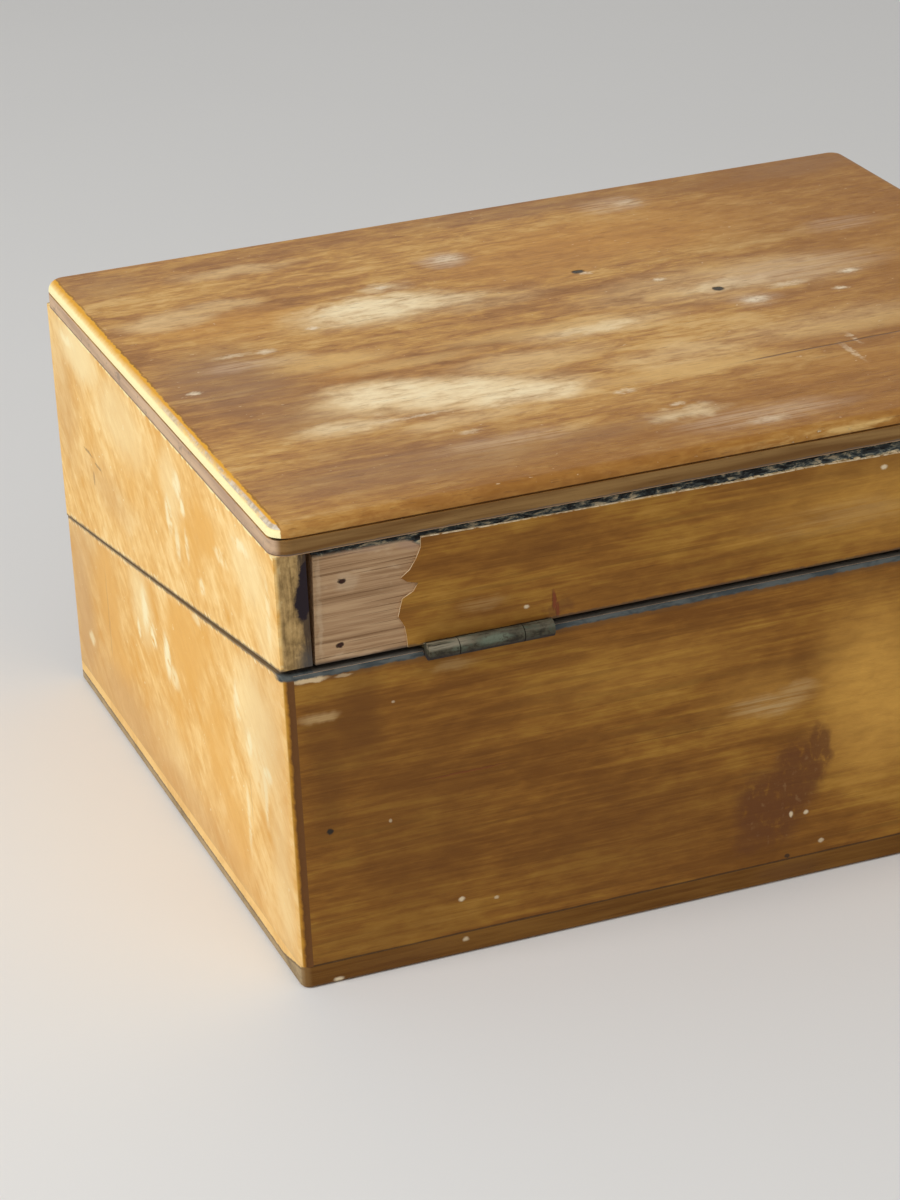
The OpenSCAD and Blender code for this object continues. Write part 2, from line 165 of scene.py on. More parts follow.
class Graph:
    """The node tree of one material. Places are in millimetres, in the part's frame."""

    def __init__(self, name):
        self.material = bpy.data.materials.new(name)
        self.material.use_nodes = True
        self.nodes = self.material.node_tree.nodes
        self.links = self.material.node_tree.links
        self.nodes.clear()
        place = self.add("ShaderNodeTexCoord").outputs["Object"]
        self.point = self.vector("SCALE", place, scale=1000.0)
        parts = self.add("ShaderNodeSeparateXYZ")
        self.links.new(self.point, parts.inputs[0])
        self.x, self.y, self.z = (Field(self, s) for s in parts.outputs)

    def add(self, kind, **settings):
        node = self.nodes.new(kind)
        for key, value in settings.items():
            setattr(node, key, value)
        return node

    def plug(self, value, socket):
        if isinstance(value, Field):
            self.links.new(value.socket, socket)
        elif isinstance(value, bpy.types.NodeSocket):
            self.links.new(value, socket)
        else:
            socket.default_value = value

    def math(self, operation, a, b=0.0):
        node = self.add("ShaderNodeMath", operation=operation)
        self.plug(a, node.inputs[0])
        self.plug(b, node.inputs[1])
        return Field(self, node.outputs[0])

    def vector(self, operation, a, b=None, scale=None):
        node = self.add("ShaderNodeVectorMath", operation=operation)
        self.plug(a, node.inputs[0])
        if b is not None:
            self.plug(b, node.inputs[1])
        if scale is not None:
            node.inputs["Scale"].default_value = scale
        return node.outputs["Value" if operation == "LENGTH" else "Vector"]

    def joined(self, x, y, z):
        node = self.add("ShaderNodeCombineXYZ")
        for value, socket in zip((x, y, z), node.inputs):
            self.plug(value, socket)
        return node.outputs[0]

    def noise(self, size, detail=3.0, rough=0.5, bend=0.0, seed=0.0, point=None):
        """Noise from 0 to 1 whose features have the given size along x, y and z."""
        sizes = size if isinstance(size, tuple) else (size, size, size)
        scaled = self.vector("MULTIPLY", point or self.point, tuple(1.0 / s for s in sizes))
        moved = self.vector("ADD", scaled, (seed * 7.31, seed * 3.17, seed * 5.53))
        node = self.add("ShaderNodeTexNoise", noise_dimensions="3D")
        self.links.new(moved, node.inputs["Vector"])
        node.inputs["Scale"].default_value = 1.0
        node.inputs["Detail"].default_value = detail
        node.inputs["Roughness"].default_value = rough
        node.inputs["Distortion"].default_value = bend
        return Field(self, node.outputs[0])

    def step(self, value, low, high, top=1.0):
        """A soft step from 0 at low to top at high; high may be the lower of the two."""
        node = self.add("ShaderNodeMapRange", interpolation_type="SMOOTHSTEP")
        self.plug(value, node.inputs["Value"])
        node.inputs["From Min"].default_value = low
        node.inputs["From Max"].default_value = high
        node.inputs["To Max"].default_value = top
        return Field(self, node.outputs[0])

    def band(self, value, low, high, soft):
        return self.step(value, low - soft, low + soft) * self.step(value, high + soft, high - soft)

    def ramp(self, value, stops):
        node = self.add("ShaderNodeValToRGB")
        self.plug(value, node.inputs[0])
        ramp = node.color_ramp
        while len(ramp.elements) < len(stops):
            ramp.elements.new(0.5)
        for element, (place, colour) in zip(ramp.elements, stops):
            element.position = place
            element.color = (*colour, 1.0)
        return node.outputs[0]

    def mix(self, share, below, above):
        node = self.add("ShaderNodeMix", data_type="RGBA")
        self.plug(share, node.inputs[0])
        for colour, socket in ((below, node.inputs[6]), (above, node.inputs[7])):
            self.plug((*colour, 1.0) if isinstance(colour, tuple) else colour, socket)
        return node.outputs[2]

    def spots(self, places, across, soft=0.35, rag=0.0, seed=0.0, grain=6.0):
        """Soft ragged patches. Each place is u, v, half width, half height and strength."""
        a, b = (getattr(self, axis) for axis in across)
        if rag:
            a = a + (self.noise(grain, 3.0, 0.6, seed=seed) - 0.5) * (2 * rag)
            b = b + (self.noise(grain, 3.0, 0.6, seed=seed + 1) - 0.5) * (2 * rag)
        flat = self.joined(a, b, 0.0)
        total = None
        for u, v, half_u, half_v, strength in places:
            off = self.vector("SUBTRACT", flat, (u, v, 0.0))
            scaled = self.vector("MULTIPLY", off, (1 / half_u, 1 / half_v, 0.0))
            spot = self.step(self.vector("LENGTH", scaled), 1 + soft, 1 - soft, strength)
            total = spot if total is None else total | spot
        return total

    def finish(self, colour, rough, height=None, metal=0.0, strength=1.0, gloss=WOOD_GLOSS):
        """Ends the tree in a shader. The height is in millimetres."""
        shader = self.add("ShaderNodeBsdfPrincipled")
        self.plug(colour, shader.inputs["Base Color"])
        self.plug(rough, shader.inputs["Roughness"])
        self.plug(metal, shader.inputs["Metallic"])
        shader.inputs["Specular IOR Level"].default_value = gloss
        if height is not None:
            bump = self.add("ShaderNodeBump")
            bump.inputs["Strength"].default_value = strength
            bump.inputs["Distance"].default_value = MM
            self.plug(height, bump.inputs["Height"])
            self.links.new(bump.outputs[0], shader.inputs["Normal"])
        output = self.add("ShaderNodeOutputMaterial")
        self.links.new(shader.outputs[0], output.inputs["Surface"])
        return self.material


def sizes(along, length, width):
    """Feature sizes for a grain that runs along one axis."""
    return tuple(length if axis == along else width for axis in "xyz")


def grain(g, along, seed, point=None):
    """Growth bands, fibres and pores of wood, each from 0 to 1."""
    bands = g.noise(sizes(along, 150.0, 8.5), 3.0, 0.55, 0.7, seed, point)
    fibres = g.noise(sizes(along, 34.0, 1.1), 4.0, 0.65, 0.25, seed + 1, point)
    pores = g.step(g.noise(sizes(along, 5.5, 0.42), 2.0, 0.5, 0.1, seed + 2, point), 0.60, 0.74)
    return bands, fibres, pores


def panel_material():
    """The top: banded, bleached and scuffed, with worn bright edges, a painted highlight along the end's
    bead, and dirt in the joints.
    """
    g = Graph("panel_wood")
    bands, fibres, pores = grain(g, "x", 1.0)
    large = g.noise((95, 42, 42), 3.0, 0.55, 0.5, 4.0)
    streaks = g.noise((70, 3.2, 3.2), 3.0, 0.6, 0.5, 5.0)
    blotch = g.noise((16, 7, 7), 4.0, 0.65, 0.6, 3.0)
    short = g.noise((7, 2.6, 2.6), 4.0, 0.65, 0.5, 2.0)
    tone = (large * 0.40 + bands * 0.20 + streaks * 0.12 + fibres * 0.16 + blotch * 0.34 + short * 0.24
        - 0.22)
    colour = g.ramp(g.step(tone, 0.34, 0.70), [(0.0, DARK_BROWN), (0.33, BROWN), (0.62, ORANGE_BROWN),
        (1.0, GOLDEN)])

    top = g.step(g.z, CASE_H - 0.9, CASE_H - 0.2)
    orange = g.spots([(-50, -72, 55, 22, 0.75), (0, -58, 30, 16, 0.5), (-125, -20, 20, 30, 0.4),
        (112, -48, 26, 12, 0.5), (-62, 84, 34, 9, 0.5), (88, 12, 16, 9, 0.5)], "xy", 0.6, 9.0, 6.0, 26.0)
    colour = g.mix(orange * (bands * 0.8 + 0.3), colour, (0.58, 0.27, 0.055))
    dark = g.spots([(-112, -112, 50, 12, 0.85), (-40, -118, 60, 9, 0.6), (80, -112, 60, 8, 0.3),
        (120, 20, 22, 40, 0.55), (100, 92, 40, 22, 0.6), (34, 108, 40, 11, 0.4),
        (-100, 104, 40, 14, 0.35)], "xy", 0.6, 8.0, 8.0, 30.0)
    colour = g.mix(dark * (1.25 - streaks), colour, (0.27, 0.125, 0.05))
    far = g.step(g.x, -20.0, -115.0) * 0.8 | g.step(g.y - g.x * 0.3, 52.0, 104.0) * 0.75
    colour = g.mix(far * (1.35 - blotch), colour, g.mix(short, (0.24, 0.085, 0.013), (0.40, 0.18, 0.026)))
    mauve = g.spots([(128, 2, 20, 26, 0.85), (96, 100, 46, 13, 0.6), (112, 46, 18, 16, 0.5),
        (42, 98, 26, 7, 0.5), (-130, -112, 24, 9, 0.5), (-15, -112, 40, 6, 0.35),
        (136, -104, 14, 12, 0.5)], "xy", 0.6, 7.0, 9.0, 22.0)
    colour = g.mix(mauve * (1.1 - streaks * 0.9), colour, MAUVE)

    bleached = g.spots([(62, -36, 27, 12, 0.6), (30, -30, 22, 8, 0.35), (84, 42, 24, 13, 1),
        (60, 50, 26, 13, 1), (34, 30, 24, 8, 0.5), (38, 58, 16, 9, 0.8), (106, 60, 16, 6, 0.6),
        (2, 12, 24, 8, 0.6), (92, 28, 14, 5, 0.7), (90, -99, 20, 6, 0.55), (126, -60, 16, 8, 0.7),
        (108, -66, 14, 5, 0.5), (-52, -10, 42, 16, 0.42), (70, 70, 20, 5, 0.6), (-66, 42, 44, 9, 0.35),
        (-12, 48, 22, 9, 0.5), (104, -6, 10, 5, 0.45)], "xy", 0.55, 6.0, 11.0, 16.0)
    colour = g.mix(bleached * g.step(streaks * 0.2 + short * 0.25 + blotch * 0.55, 0.22, 0.58), colour,
        BLEACHED)
    paler = g.spots([(85, 38, 16, 9, 1), (66, 46, 17, 9, 1), (49, 55, 15, 8, 1),
        (36, 60, 8, 5, 0.7), (105, 58, 11, 4, 0.5), (62, -40, 22, 11, 1), (40, -36, 14, 6, 0.6),
        (52, -58, 9, 4, 0.5), (4, 12, 14, 4, 0.6), (8, 96, 12, 5, 0.5), (-52, -6, 14, 5, 0.5)], "xy", 0.6,
        7.0, 13.0, 7.0)
    colour = g.mix(paler * g.step(streaks * 0.2 + short * 0.25 + blotch * 0.55, 0.28, 0.64), colour,
        CREAM)
    yellow = g.spots([(-8, 62, 30, 5, 0.6), (22, 6, 28, 5, 0.5), (90, 2, 18, 6, 0.6),
        (-90, 50, 40, 6, 0.4), (70, 14, 22, 4, 0.5)], "xy", 0.6, 4.0, 15.0, 12.0)
    colour = g.mix(yellow, colour, (0.78, 0.50, 0.19))

    grey = g.spots([(-78, -10, 30, 11, 0.5), (-54, 12, 8, 6, 0.5), (-12, 108, 26, 7, 0.5),
        (-51, -103, 11, 7, 0.6), (-112, -46, 14, 6, 0.4), (23, -75, 8, 7, 0.75), (66, 92, 20, 5, 0.4),
        (118, -8, 12, 4, 0.5)], "xy", 0.55, 4.0, 17.0, 9.0)
    colour = g.mix(grey * g.step(fibres, 0.32, 0.6), colour, (0.66, 0.47, 0.31))
    scuffs = g.spots([(-54, 12, 3.6, 2.4, 1), (-94, 0.5, 3, 1.6, 1), (-84, 15, 2, 1.4, 1),
        (-34, -21, 1.6, 1.2, 0.9), (-14.5, -39, 1.8, 1.2, 1), (86, -31, 1.7, 1.4, 0.9),
        (52, -58, 2, 1.3, 0.8), (139, 9, 1.8, 1.3, 0.9), (107, -17, 2.6, 1.8, 0.7),
        (18, 70, 3, 1.4, 0.8), (22, -76, 4.6, 3, 0.7), (-70, 3, 6, 2, 0.6), (-57, -103, 4, 3, 0.5),
        (-12, 112, 5, 2, 0.5), (-66, 60, 0.8, 4, 0.6), (-60, 72, 0.8, 7, 0.5), (73, 80, 3, 1.2, 0.5),
        (8, 88, 2, 1, 0.7), (118, -18, 5, 1.4, 0.5), (84, 60, 9, 0.8, 0.6)], "xy", 0.9, 2.4, 19.0, 2.0)
    colour = g.mix(scuffs * g.step(short, 0.3, 0.5), colour, CHALK)
    flecks = g.step(g.noise((2.6, 1.5, 1.5), 2.0, 0.55, 0.3, 21.0), 0.72, 0.79, 0.7)
    colour = g.mix(flecks, colour, (0.74, 0.57, 0.36))

    wobble = (g.noise((24, 24, 24), 2.0, seed=23.0) - 0.5) * 2.2
    off_line = abs(g.y - 65.0 + wobble - g.x * 0.045)
    check = g.step(off_line, 0.75, 0.2, 0.8) * g.band(g.x, -86.0, -26.0, 9.0) * g.step(fibres, 0.3, 0.5)
    colour = g.mix(check * top, colour, (0.16, 0.085, 0.045))
    holes = g.spots([(-13.1, -41.8, 2, 1.5, 1), (-47.7, -3.5, 1.7, 1.9, 1)], "xy", 0.3, 0.7, 25.0,
        2.0) * top
    colour = g.mix(holes, colour, (0.055, 0.045, 0.03))
    colour = g.mix(pores * 0.4, colour, (0.17, 0.075, 0.03))

    worn = g.noise((16, 16, 3), 4.0, 0.65, 0.3, 27.0)
    nibbled = g.noise((3, 3, 3), 3.0, 0.6, 0.3, 28.0)
    # Painted highlight on the end's bead: near white where it faces the light, turning to orange worn finish
    # at the arris.
    end_edge = g.step(g.x + (nibbled - 0.5) * 1.8, HALF_L - 3.1, HALF_L - 2.7) * g.step(g.z, 147.4, 148.4)
    arris = g.ramp((g.z + (nibbled - 0.5) * 0.8 - 148.2) * (1 / 3.8),
        [(0.0, (1.0, 0.90, 0.50)), (0.52, (1.0, 0.88, 0.46)), (0.66, (0.90, 0.64, 0.26)),
        (0.90, WORN_ORANGE)])
    colour = g.mix(end_edge, colour, arris)
    dark_arris = g.band(g.x + (nibbled - 0.5) * 1.8, HALF_L - 3.5, HALF_L - 2.9, 0.15) * g.step(worn, 0.4,
        0.55)
    colour = g.mix(dark_arris * g.step(g.z, 150.0, 151.0) * 0.8, colour, (0.30, 0.14, 0.02))
    chalky = g.step(g.y, -40.0, 60.0) * g.step(worn, 0.34, 0.52) * end_edge * g.band(g.z, 150.5, 151.5,
        0.15)
    colour = g.mix(chalky * 0.85, colour, g.mix(g.step(nibbled, 0.4, 0.6), (0.42, 0.36, 0.30),
        (0.66, 0.60, 0.52)))
    low_bead = g.band(g.z, PANEL_Z + 5.0, CASE_H - 1.6, 0.6)
    rear_edge = g.step(g.y, HALF_W - 3.8, HALF_W - 2.6) * low_bead
    rubbed = g.step(worn, 0.42, 0.62) * g.step(g.x, 25.0, -45.0)
    colour = g.mix(rear_edge * rubbed * 0.75, colour, (0.78, 0.52, 0.20))
    nicks = g.step(g.noise((5, 5, 1.6), 3.0, 0.6, seed=29.0), 0.66, 0.72) * rear_edge * g.step(g.x,
        60.0, -20.0)
    colour = g.mix(nicks, colour, CHIP)

    flat_band = g.step(g.z, PANEL_Z + 5.05, PANEL_Z + 4.9)
    on_end = g.step(g.x, HALF_L - 3.0, HALF_L - 1.0)
    edge_tone = g.step(g.noise((60, 60, 3), 3.0, 0.5, 0.4, 31.0), 0.3, 0.7)
    edge_colour = g.mix(on_end, g.mix(edge_tone, (0.17, 0.080, 0.022), (0.33, 0.19, 0.065)),
        g.mix(edge_tone, (0.47, 0.31, 0.20), (0.66, 0.46, 0.29)))
    colour = g.mix(flat_band, colour, edge_colour)
    soiled = g.step(nibbled * 0.5 + worn * 0.5, 0.54, 0.62) * flat_band * on_end
    colour = g.mix(soiled * 0.7, colour, (0.30, 0.22, 0.16))
    joint = g.step(g.z + (nibbled - 0.5) * 0.9, PANEL_Z + 0.75, PANEL_Z + 0.35)
    colour = g.mix(joint * 0.8, colour, (0.13, 0.095, 0.07))
    quirk = g.band(g.z, PANEL_Z + 4.95, PANEL_Z + 5.75, 0.12)
    inset = (abs(g.x) - (HALF_L - 0.75)) | (abs(g.y) - (HALF_W - 0.75))
    colour = g.mix(quirk * g.step(inset, 0.1, -0.4), colour, (0.07, 0.04, 0.02))
    under = g.step(g.z, PANEL_Z + 0.25, PANEL_Z + 0.05)
    inside = g.mix(g.step(bands * 0.6 + fibres * 0.4, 0.35, 0.65), BARE_DARK, BARE)
    colour = g.mix(under, colour, inside)

    height = fibres * 0.10 + bands * 0.05 - pores * 0.10 - holes * 1.6 - check * 0.35 + scuffs * 0.06
    height = height + g.noise((14, 9, 5), 3.0, 0.6, 0.2, 33.0) * 0.16 * (low_bead
        | 0.35) - nicks * 0.4
    rough = 0.46 + fibres * 0.12 + bleached * 0.12 + scuffs * 0.2 + under * 0.2
    return g.finish(colour, rough, height, strength=0.9)


def end_point(g, tilt):
    """Places turned about x, so that the grain of an end wall runs askew along y."""
    turn = g.add("ShaderNodeVectorRotate", rotation_type="X_AXIS")
    g.links.new(g.point, turn.inputs["Vector"])
    turn.inputs["Angle"].default_value = math.radians(tilt)
    return turn.outputs[0]


def end_material(name, side, lid, marks):
    """An end wall: pale gold with orange runs and whitish scratches, bare inside and on its edges, with
    painted highlight and shade on its upright corners and painted shade along the cut.
    """
    seed = 40.0 + (7.0 if lid else 0.0) + (19.0 if side < 0 else 0.0)
    g = Graph(name)
    askew = end_point(g, END_GRAIN_TILT)
    bands, fibres, pores = grain(g, "y", seed, askew)
    cloud = g.noise((30, 26, 20), 4.0, 0.55, 0.6, seed + 3)
    mottle = g.noise((4, 7, 3), 3.0, 0.6, 0.4, seed + 4, askew)
    tone = cloud * 0.42 + bands * 0.30 + mottle * 0.42 + fibres * 0.16 - 0.15
    colour = g.ramp(g.step(tone, 0.34, 0.68), [(0.0, END_ORANGE), (0.3, (0.85, 0.50, 0.15)),
        (0.6, END_GOLD), (1.0, END_PALE)])
    runs = g.spots(marks["orange"], "yz", 0.4, 8.0, seed + 5, 11.0)
    colour = g.mix(runs, colour, g.mix(mottle, END_ORANGE, (0.88, 0.50, 0.13)))
    dull = g.spots(marks["dull"], "yz", 0.7, 8.0, seed + 7, 20.0)
    colour = g.mix(dull * 0.8, colour, END_DULL)
    pale = g.spots(marks["pale"], "yz", 0.6, 5.0, seed + 9, 12.0)
    colour = g.mix(pale * 0.8, colour, (1.0, 0.80, 0.42))
    soft = g.spots(marks["white"], "yz", 0.55, 2.2, seed + 11, 5.0)
    colour = g.mix(soft * g.step(mottle, 0.3, 0.55), colour, END_WHITE)
    cracks = g.spots(marks["cracks"], "yz", 0.4, 0.8, seed + 13, 3.0)
    colour = g.mix(cracks * 0.75, colour, (0.42, 0.25, 0.11))
    colour = g.mix(pores * 0.18, colour, (0.50, 0.28, 0.10))
    flecks = g.step(g.noise((1.5, 2.6, 2.2), 2.0, 0.5, 0.2, seed + 15), 0.70, 0.78, 0.6)
    colour = g.mix(flecks, colour, END_WHITE)

    rim = rim_distance(g, lid)
    if not lid:
        fading = g.step(g.y, -30.0, -110.0) | g.step(g.z, 46.0, 12.0) | g.step(g.y, 70.0, 118.0)
        colour = g.mix(fading * 0.32, colour, g.mix(cloud, (0.50, 0.27, 0.10), (0.78, 0.47, 0.19)))
    # Painted shade along the cut, where lid and base meet.
    near_rim = g.step(rim + (mottle - 0.5) * 1.2, 1.0, 0.2)
    colour = g.mix(near_rim * 0.85, colour, (0.17, 0.125, 0.08))
    lip = g.band(rim + (mottle - 0.5) * 2.0, 0.5, 1.7, 0.4) * g.step(fibres, 0.5, 0.62)
    colour = g.mix(lip * 0.7, colour, END_WHITE)
    if not lid:
        foot = g.step(g.z + (cloud - 0.5) * 6.0, BOTTOM_T + 3.0, BOTTOM_T - 0.5)
        colour = g.mix(foot * 0.3, colour, (0.60, 0.38, 0.16))
    else:
        joint = g.step(g.z + (mottle - 0.5) * 1.6, PANEL_Z - 0.9, PANEL_Z - 0.3) * g.step(mottle, 0.42,
            0.55)
        colour = g.mix(joint, colour, (1.0, 0.86, 0.45))

    out = g.x * side
    depth = HALF_L - out
    on_rear = g.step(depth, 0.5, 1.6) if lid else g.step(depth, 1.6, 3.2)
    end_grain = end_grain_colour(g, seed + 16, depth)
    # Painted highlight and shade for the upright corners: a lit golden arris, dark brown further round.
    edge_tone = g.ramp(g.step(depth + (mottle - 0.5) * 1.6, 0.0, 3.6),
        [(0.0, (0.56, 0.29, 0.04)), (0.25, (0.36, 0.16, 0.018)), (0.5, (0.12, 0.048, 0.012)),
        (1.0, (0.17, 0.070, 0.020))])
    if lid and side > 0:
        rear_share = g.step(g.y, HALF_W - 1.6, HALF_W - 0.9)
        colour = g.mix(rear_share * on_rear, colour, end_grain)
        # Painted highlight and shade on the front upright corner.
        rear_share = g.step(g.y, -HALF_W + 1.2, -HALF_W + 0.4)
        colour = g.mix(rear_share, colour, edge_tone)
    else:
        # Painted highlight and shade on both upright corners.
        rear = g.step(abs(g.y), HALF_W - (1.6 if lid else 1.4), HALF_W - 0.9)
        colour = g.mix(rear, colour, edge_tone)

    inside = g.step(depth, 2.6, 4.2) * g.step(abs(g.y), HALF_W - 0.8, HALF_W - 1.4)
    board = g.noise((9, 60, 9), 4.0, 0.6, 0.5, seed + 17)
    bare = g.mix(g.step(board * 0.6 + fibres * 0.4, 0.34, 0.64), BARE_DARK, BARE)
    # Painted shade on the bare rim along the cut.
    cut_shade = g.step(rim + (mottle - 0.5) * 0.8, 1.2, 0.1)
    bare = g.mix(cut_shade * 0.55, bare, (0.24, 0.17, 0.11))
    colour = g.mix(inside, colour, bare)
    if not lid:
        soil = g.mix(g.step(mottle, 0.4, 0.62), BLUE_DIRT, PALE_DIRT)
        colour = g.mix(g.step(rim + (mottle - 0.5) * 1.6, 2.3, 1.5) * g.step(g.y, 116.0, 123.0), colour,
            soil)

    height = fibres * 0.05 + mottle * 0.10 + cloud * 0.12 - pores * 0.05 - cracks * 0.45 - soft * 0.10
    rough = 0.42 + mottle * 0.16 + soft * 0.15 + inside * 0.25
    return g.finish(colour, rough, height, strength=0.8)


def rim_distance(g, lid):
    """Distance from the sloping cut, in millimetres, on either part."""
    if lid:
        return g.z - (g.y - HALF_W) * LID_SLOPE - LID_REAR_Z
    return (g.y - HALF_W) * BASE_SLOPE + BASE_REAR_Z - g.z


def end_grain_colour(g, seed, depth):
    """The bare end of an end wall, dark where it meets the opened joint, partly dirt and partly painted
    shade.
    """
    rings = g.noise((1.4, 8, 14), 3.0, 0.6, 0.6, seed)
    spots = g.noise((2.2, 2.2, 3.2), 3.0, 0.6, 0.3, seed + 1)
    colour = g.mix(g.step(rings * 0.5 + spots * 0.5, 0.36, 0.62), (0.24, 0.15, 0.055), (0.54, 0.35, 0.14))
    colour = g.mix(g.step(spots, 0.60, 0.70, 0.6), colour, (0.60, 0.45, 0.22))
    # Near black by the opened joint, partly dirt and partly painted shade; the notch is painted shade.
    dirt = g.step(depth + (rings - 0.5) * 7.0, 6.4, 9.2)
    notch = g.spots([(143.4, 127.5, 2.6, 7, 1), (142.6, 135, 1.6, 6, 1)], "xz", 0.25, 1.8, seed
        + 2, 3.0)
    colour = g.mix(dirt * 0.85 | notch, colour, (0.022, 0.014, 0.018))
    # Painted shade on the rounded corner between the end face and its end grain.
    colour = g.mix(g.step(depth + (spots - 0.5) * 0.8, 0.75, 0.35) * 0.9, colour, (0.11, 0.052, 0.022))
    low = g.step(g.z + (spots - 0.5) * 8.0, 115.0, 108.0) * g.step(depth, 3.0, 8.0)
    return g.mix(low * 0.6, colour, (0.09, 0.085, 0.08))


def veneer_material(name, side, lid, marks):
    """Stained veneer over a long wall, with painted shade along the edge at the cut, blue-grey dirt there on
    the base's rear, and darker smears.
    """
    seed = 80.0 + (9.0 if lid else 0.0) + (23.0 if side < 0 else 0.0)
    g = Graph(name)
    bands, fibres, pores = grain(g, "x", seed)
    cloud = g.noise((80, 20, 26), 3.0, 0.55, 0.6, seed + 3)
    lines = g.noise((120, 3, 3.6), 2.0, 0.5, 0.9, seed + 4)
    brushed = g.noise((9, 3, 3.2), 3.0, 0.6, 0.3, seed + 5)
    tone = cloud * 0.44 + bands * 0.34 + fibres * 0.34 + brushed * 0.24 - 0.18
    colour = g.ramp(g.step(tone, 0.34, 0.72), [(0.0, (0.19, 0.072, 0.012)), (0.4, VENEER_BROWN),
        (0.7, VENEER_OLIVE), (1.0, (0.46, 0.235, 0.045))])
    dark_lines = g.step(lines, 0.57, 0.63) * g.step(fibres, 0.35, 0.6)
    colour = g.mix(dark_lines * 0.5, colour, VENEER_DARK)
    colour = g.mix(pores * 0.25, colour, VENEER_DARK)
    gold = g.spots(marks["gold"], "xz", 0.8, 8.0, seed + 6, 24.0)
    colour = g.mix(gold * (0.45 + brushed * 0.8), colour, VENEER_GOLD)
    dark = g.spots(marks["dark"], "xz", 0.7, 7.0, seed + 8, 18.0)
    colour = g.mix(dark * 0.8, colour, (0.155, 0.060, 0.013))
    pale = g.spots(marks["pale"], "xz", 0.6, 3.0, seed + 10, 10.0)
    colour = g.mix(pale * g.step(fibres, 0.3, 0.6), colour, (0.52, 0.33, 0.14))
    stain = g.spots(marks["stain"], "xz", 0.35, 4.0, seed + 12, 9.0)
    blotch = g.noise((3, 3, 4), 3.0, 0.6, 0.3, seed + 13)
    colour = g.mix(stain * g.step(blotch, 0.22, 0.5) * 0.85, colour, STAIN)
    colour = g.mix(stain * g.step(blotch, 0.62, 0.74) * 0.35, colour, (0.34, 0.19, 0.08))
    flecks = g.spots(marks["flecks"], "xz", 0.5, 0.4, seed + 14, 1.5)
    colour = g.mix(flecks, colour, CHIP)
    cracks = g.spots(marks["cracks"], "xz", 0.4, 0.5, seed + 15, 3.0)
    colour = g.mix(cracks * 0.85, colour, (0.20, 0.045, 0.02))

    holes = g.spots(marks.get("holes", [(0, 0, 1, 1, 0)]), "xz", 0.3, 0.5, seed + 16, 1.5)
    colour = g.mix(holes, colour, GRIME_AND_SHADE)
    rim = rim_distance(g, lid)
    rough_rim = rim + (blotch - 0.5) * 1.4
    if lid:
        # Painted shade along the lid's lower edge, over the gap.
        colour = g.mix(g.step(rough_rim, 1.0, 0.2) * 0.7, colour, (0.06, 0.045, 0.035))
    else:
        # Painted shade along the base's top edge, under the gap.
        colour = g.mix(g.step(rough_rim, 4.4, 2.9) * 0.5, colour, (0.13, 0.062, 0.024))
        dirt = g.mix(g.step(brushed, 0.42, 0.62), BLUE_DIRT, PALE_DIRT)
        if side > 0:
            colour = g.mix(g.step(rough_rim, 2.7, 2.0), colour, dirt)
        chip = g.spots(marks["chip"], "xz", 0.4, 1.0, seed + 17, 4.0)
        colour = g.mix(chip, colour, (0.70, 0.52, 0.30))
        foot = g.band(g.z + (brushed - 0.5) * 0.4, BOTTOM_T - 1.0, BOTTOM_T + 0.35, 0.15)
        colour = g.mix(foot * 0.85, colour, (0.06, 0.03, 0.012))
    raw = g.step(g.y * side, HALF_W - 0.16, HALF_W - 0.3) * g.step(g.y * side, BOARD_Y + 0.1, BOARD_Y
        + 0.2)
    if lid and side > 0:
        break_tone = g.mix(g.step(blotch, 0.35, 0.6), (0.50, 0.36, 0.20), CHIP)
        top_edge = g.step(g.z, 134.0, 138.0)
        colour = g.mix(raw * (top_edge | g.step(g.x, 104.0, 108.0)), colour, break_tone)
        frayed = chipped_edge(g, seed + 18)
        colour = g.mix(frayed, colour, break_tone)
    colour = g.mix(g.step(g.y * side, BOARD_Y + 0.08, BOARD_Y + 0.02), colour, BARE)

    height = (fibres * 0.05 + bands * 0.05 - pores * 0.05 - dark_lines * 0.04 - cracks * 0.4
        + flecks * 0.15 + brushed * 0.05)
    rough = 0.40 + brushed * 0.14 + stain * 0.12 + dark * 0.1
    return g.finish(colour, rough, height, strength=0.8)


# The top of the lid's rear veneer, as x and z
CHIPPED_EDGE = [
    (107, 140.7), (88, 140.2), (62, 139.9), (34, 139.6), (2, 139.1), (-20, 139.3), (-40, 138.6), (-62, 138.3),
    (-88, 139.1), (-110, 140.3), (-128, 140.7),
]


def chipped_edge(g, seed):
    """Cream wood along the chipped top edge of the lid's rear veneer."""
    total = None
    for (x0, z0), (x1, z1) in zip(CHIPPED_EDGE, CHIPPED_EDGE[1:]):
        rise = (z1 - z0) / (x1 - x0)
        above = g.z - (g.x - x0) * rise - z0
        part = g.step(above, -0.15, 0.1) * g.step(g.x, x0 + 0.2, x0 - 0.2) * g.step(g.x, x1 - 0.2, x1
            + 0.2)
        total = part if total is None else total | part
    ragged = g.noise((2.2, 2.2, 1.2), 3.0, 0.6, 0.3, seed)
    return total * g.step(ragged, 0.36, 0.5)


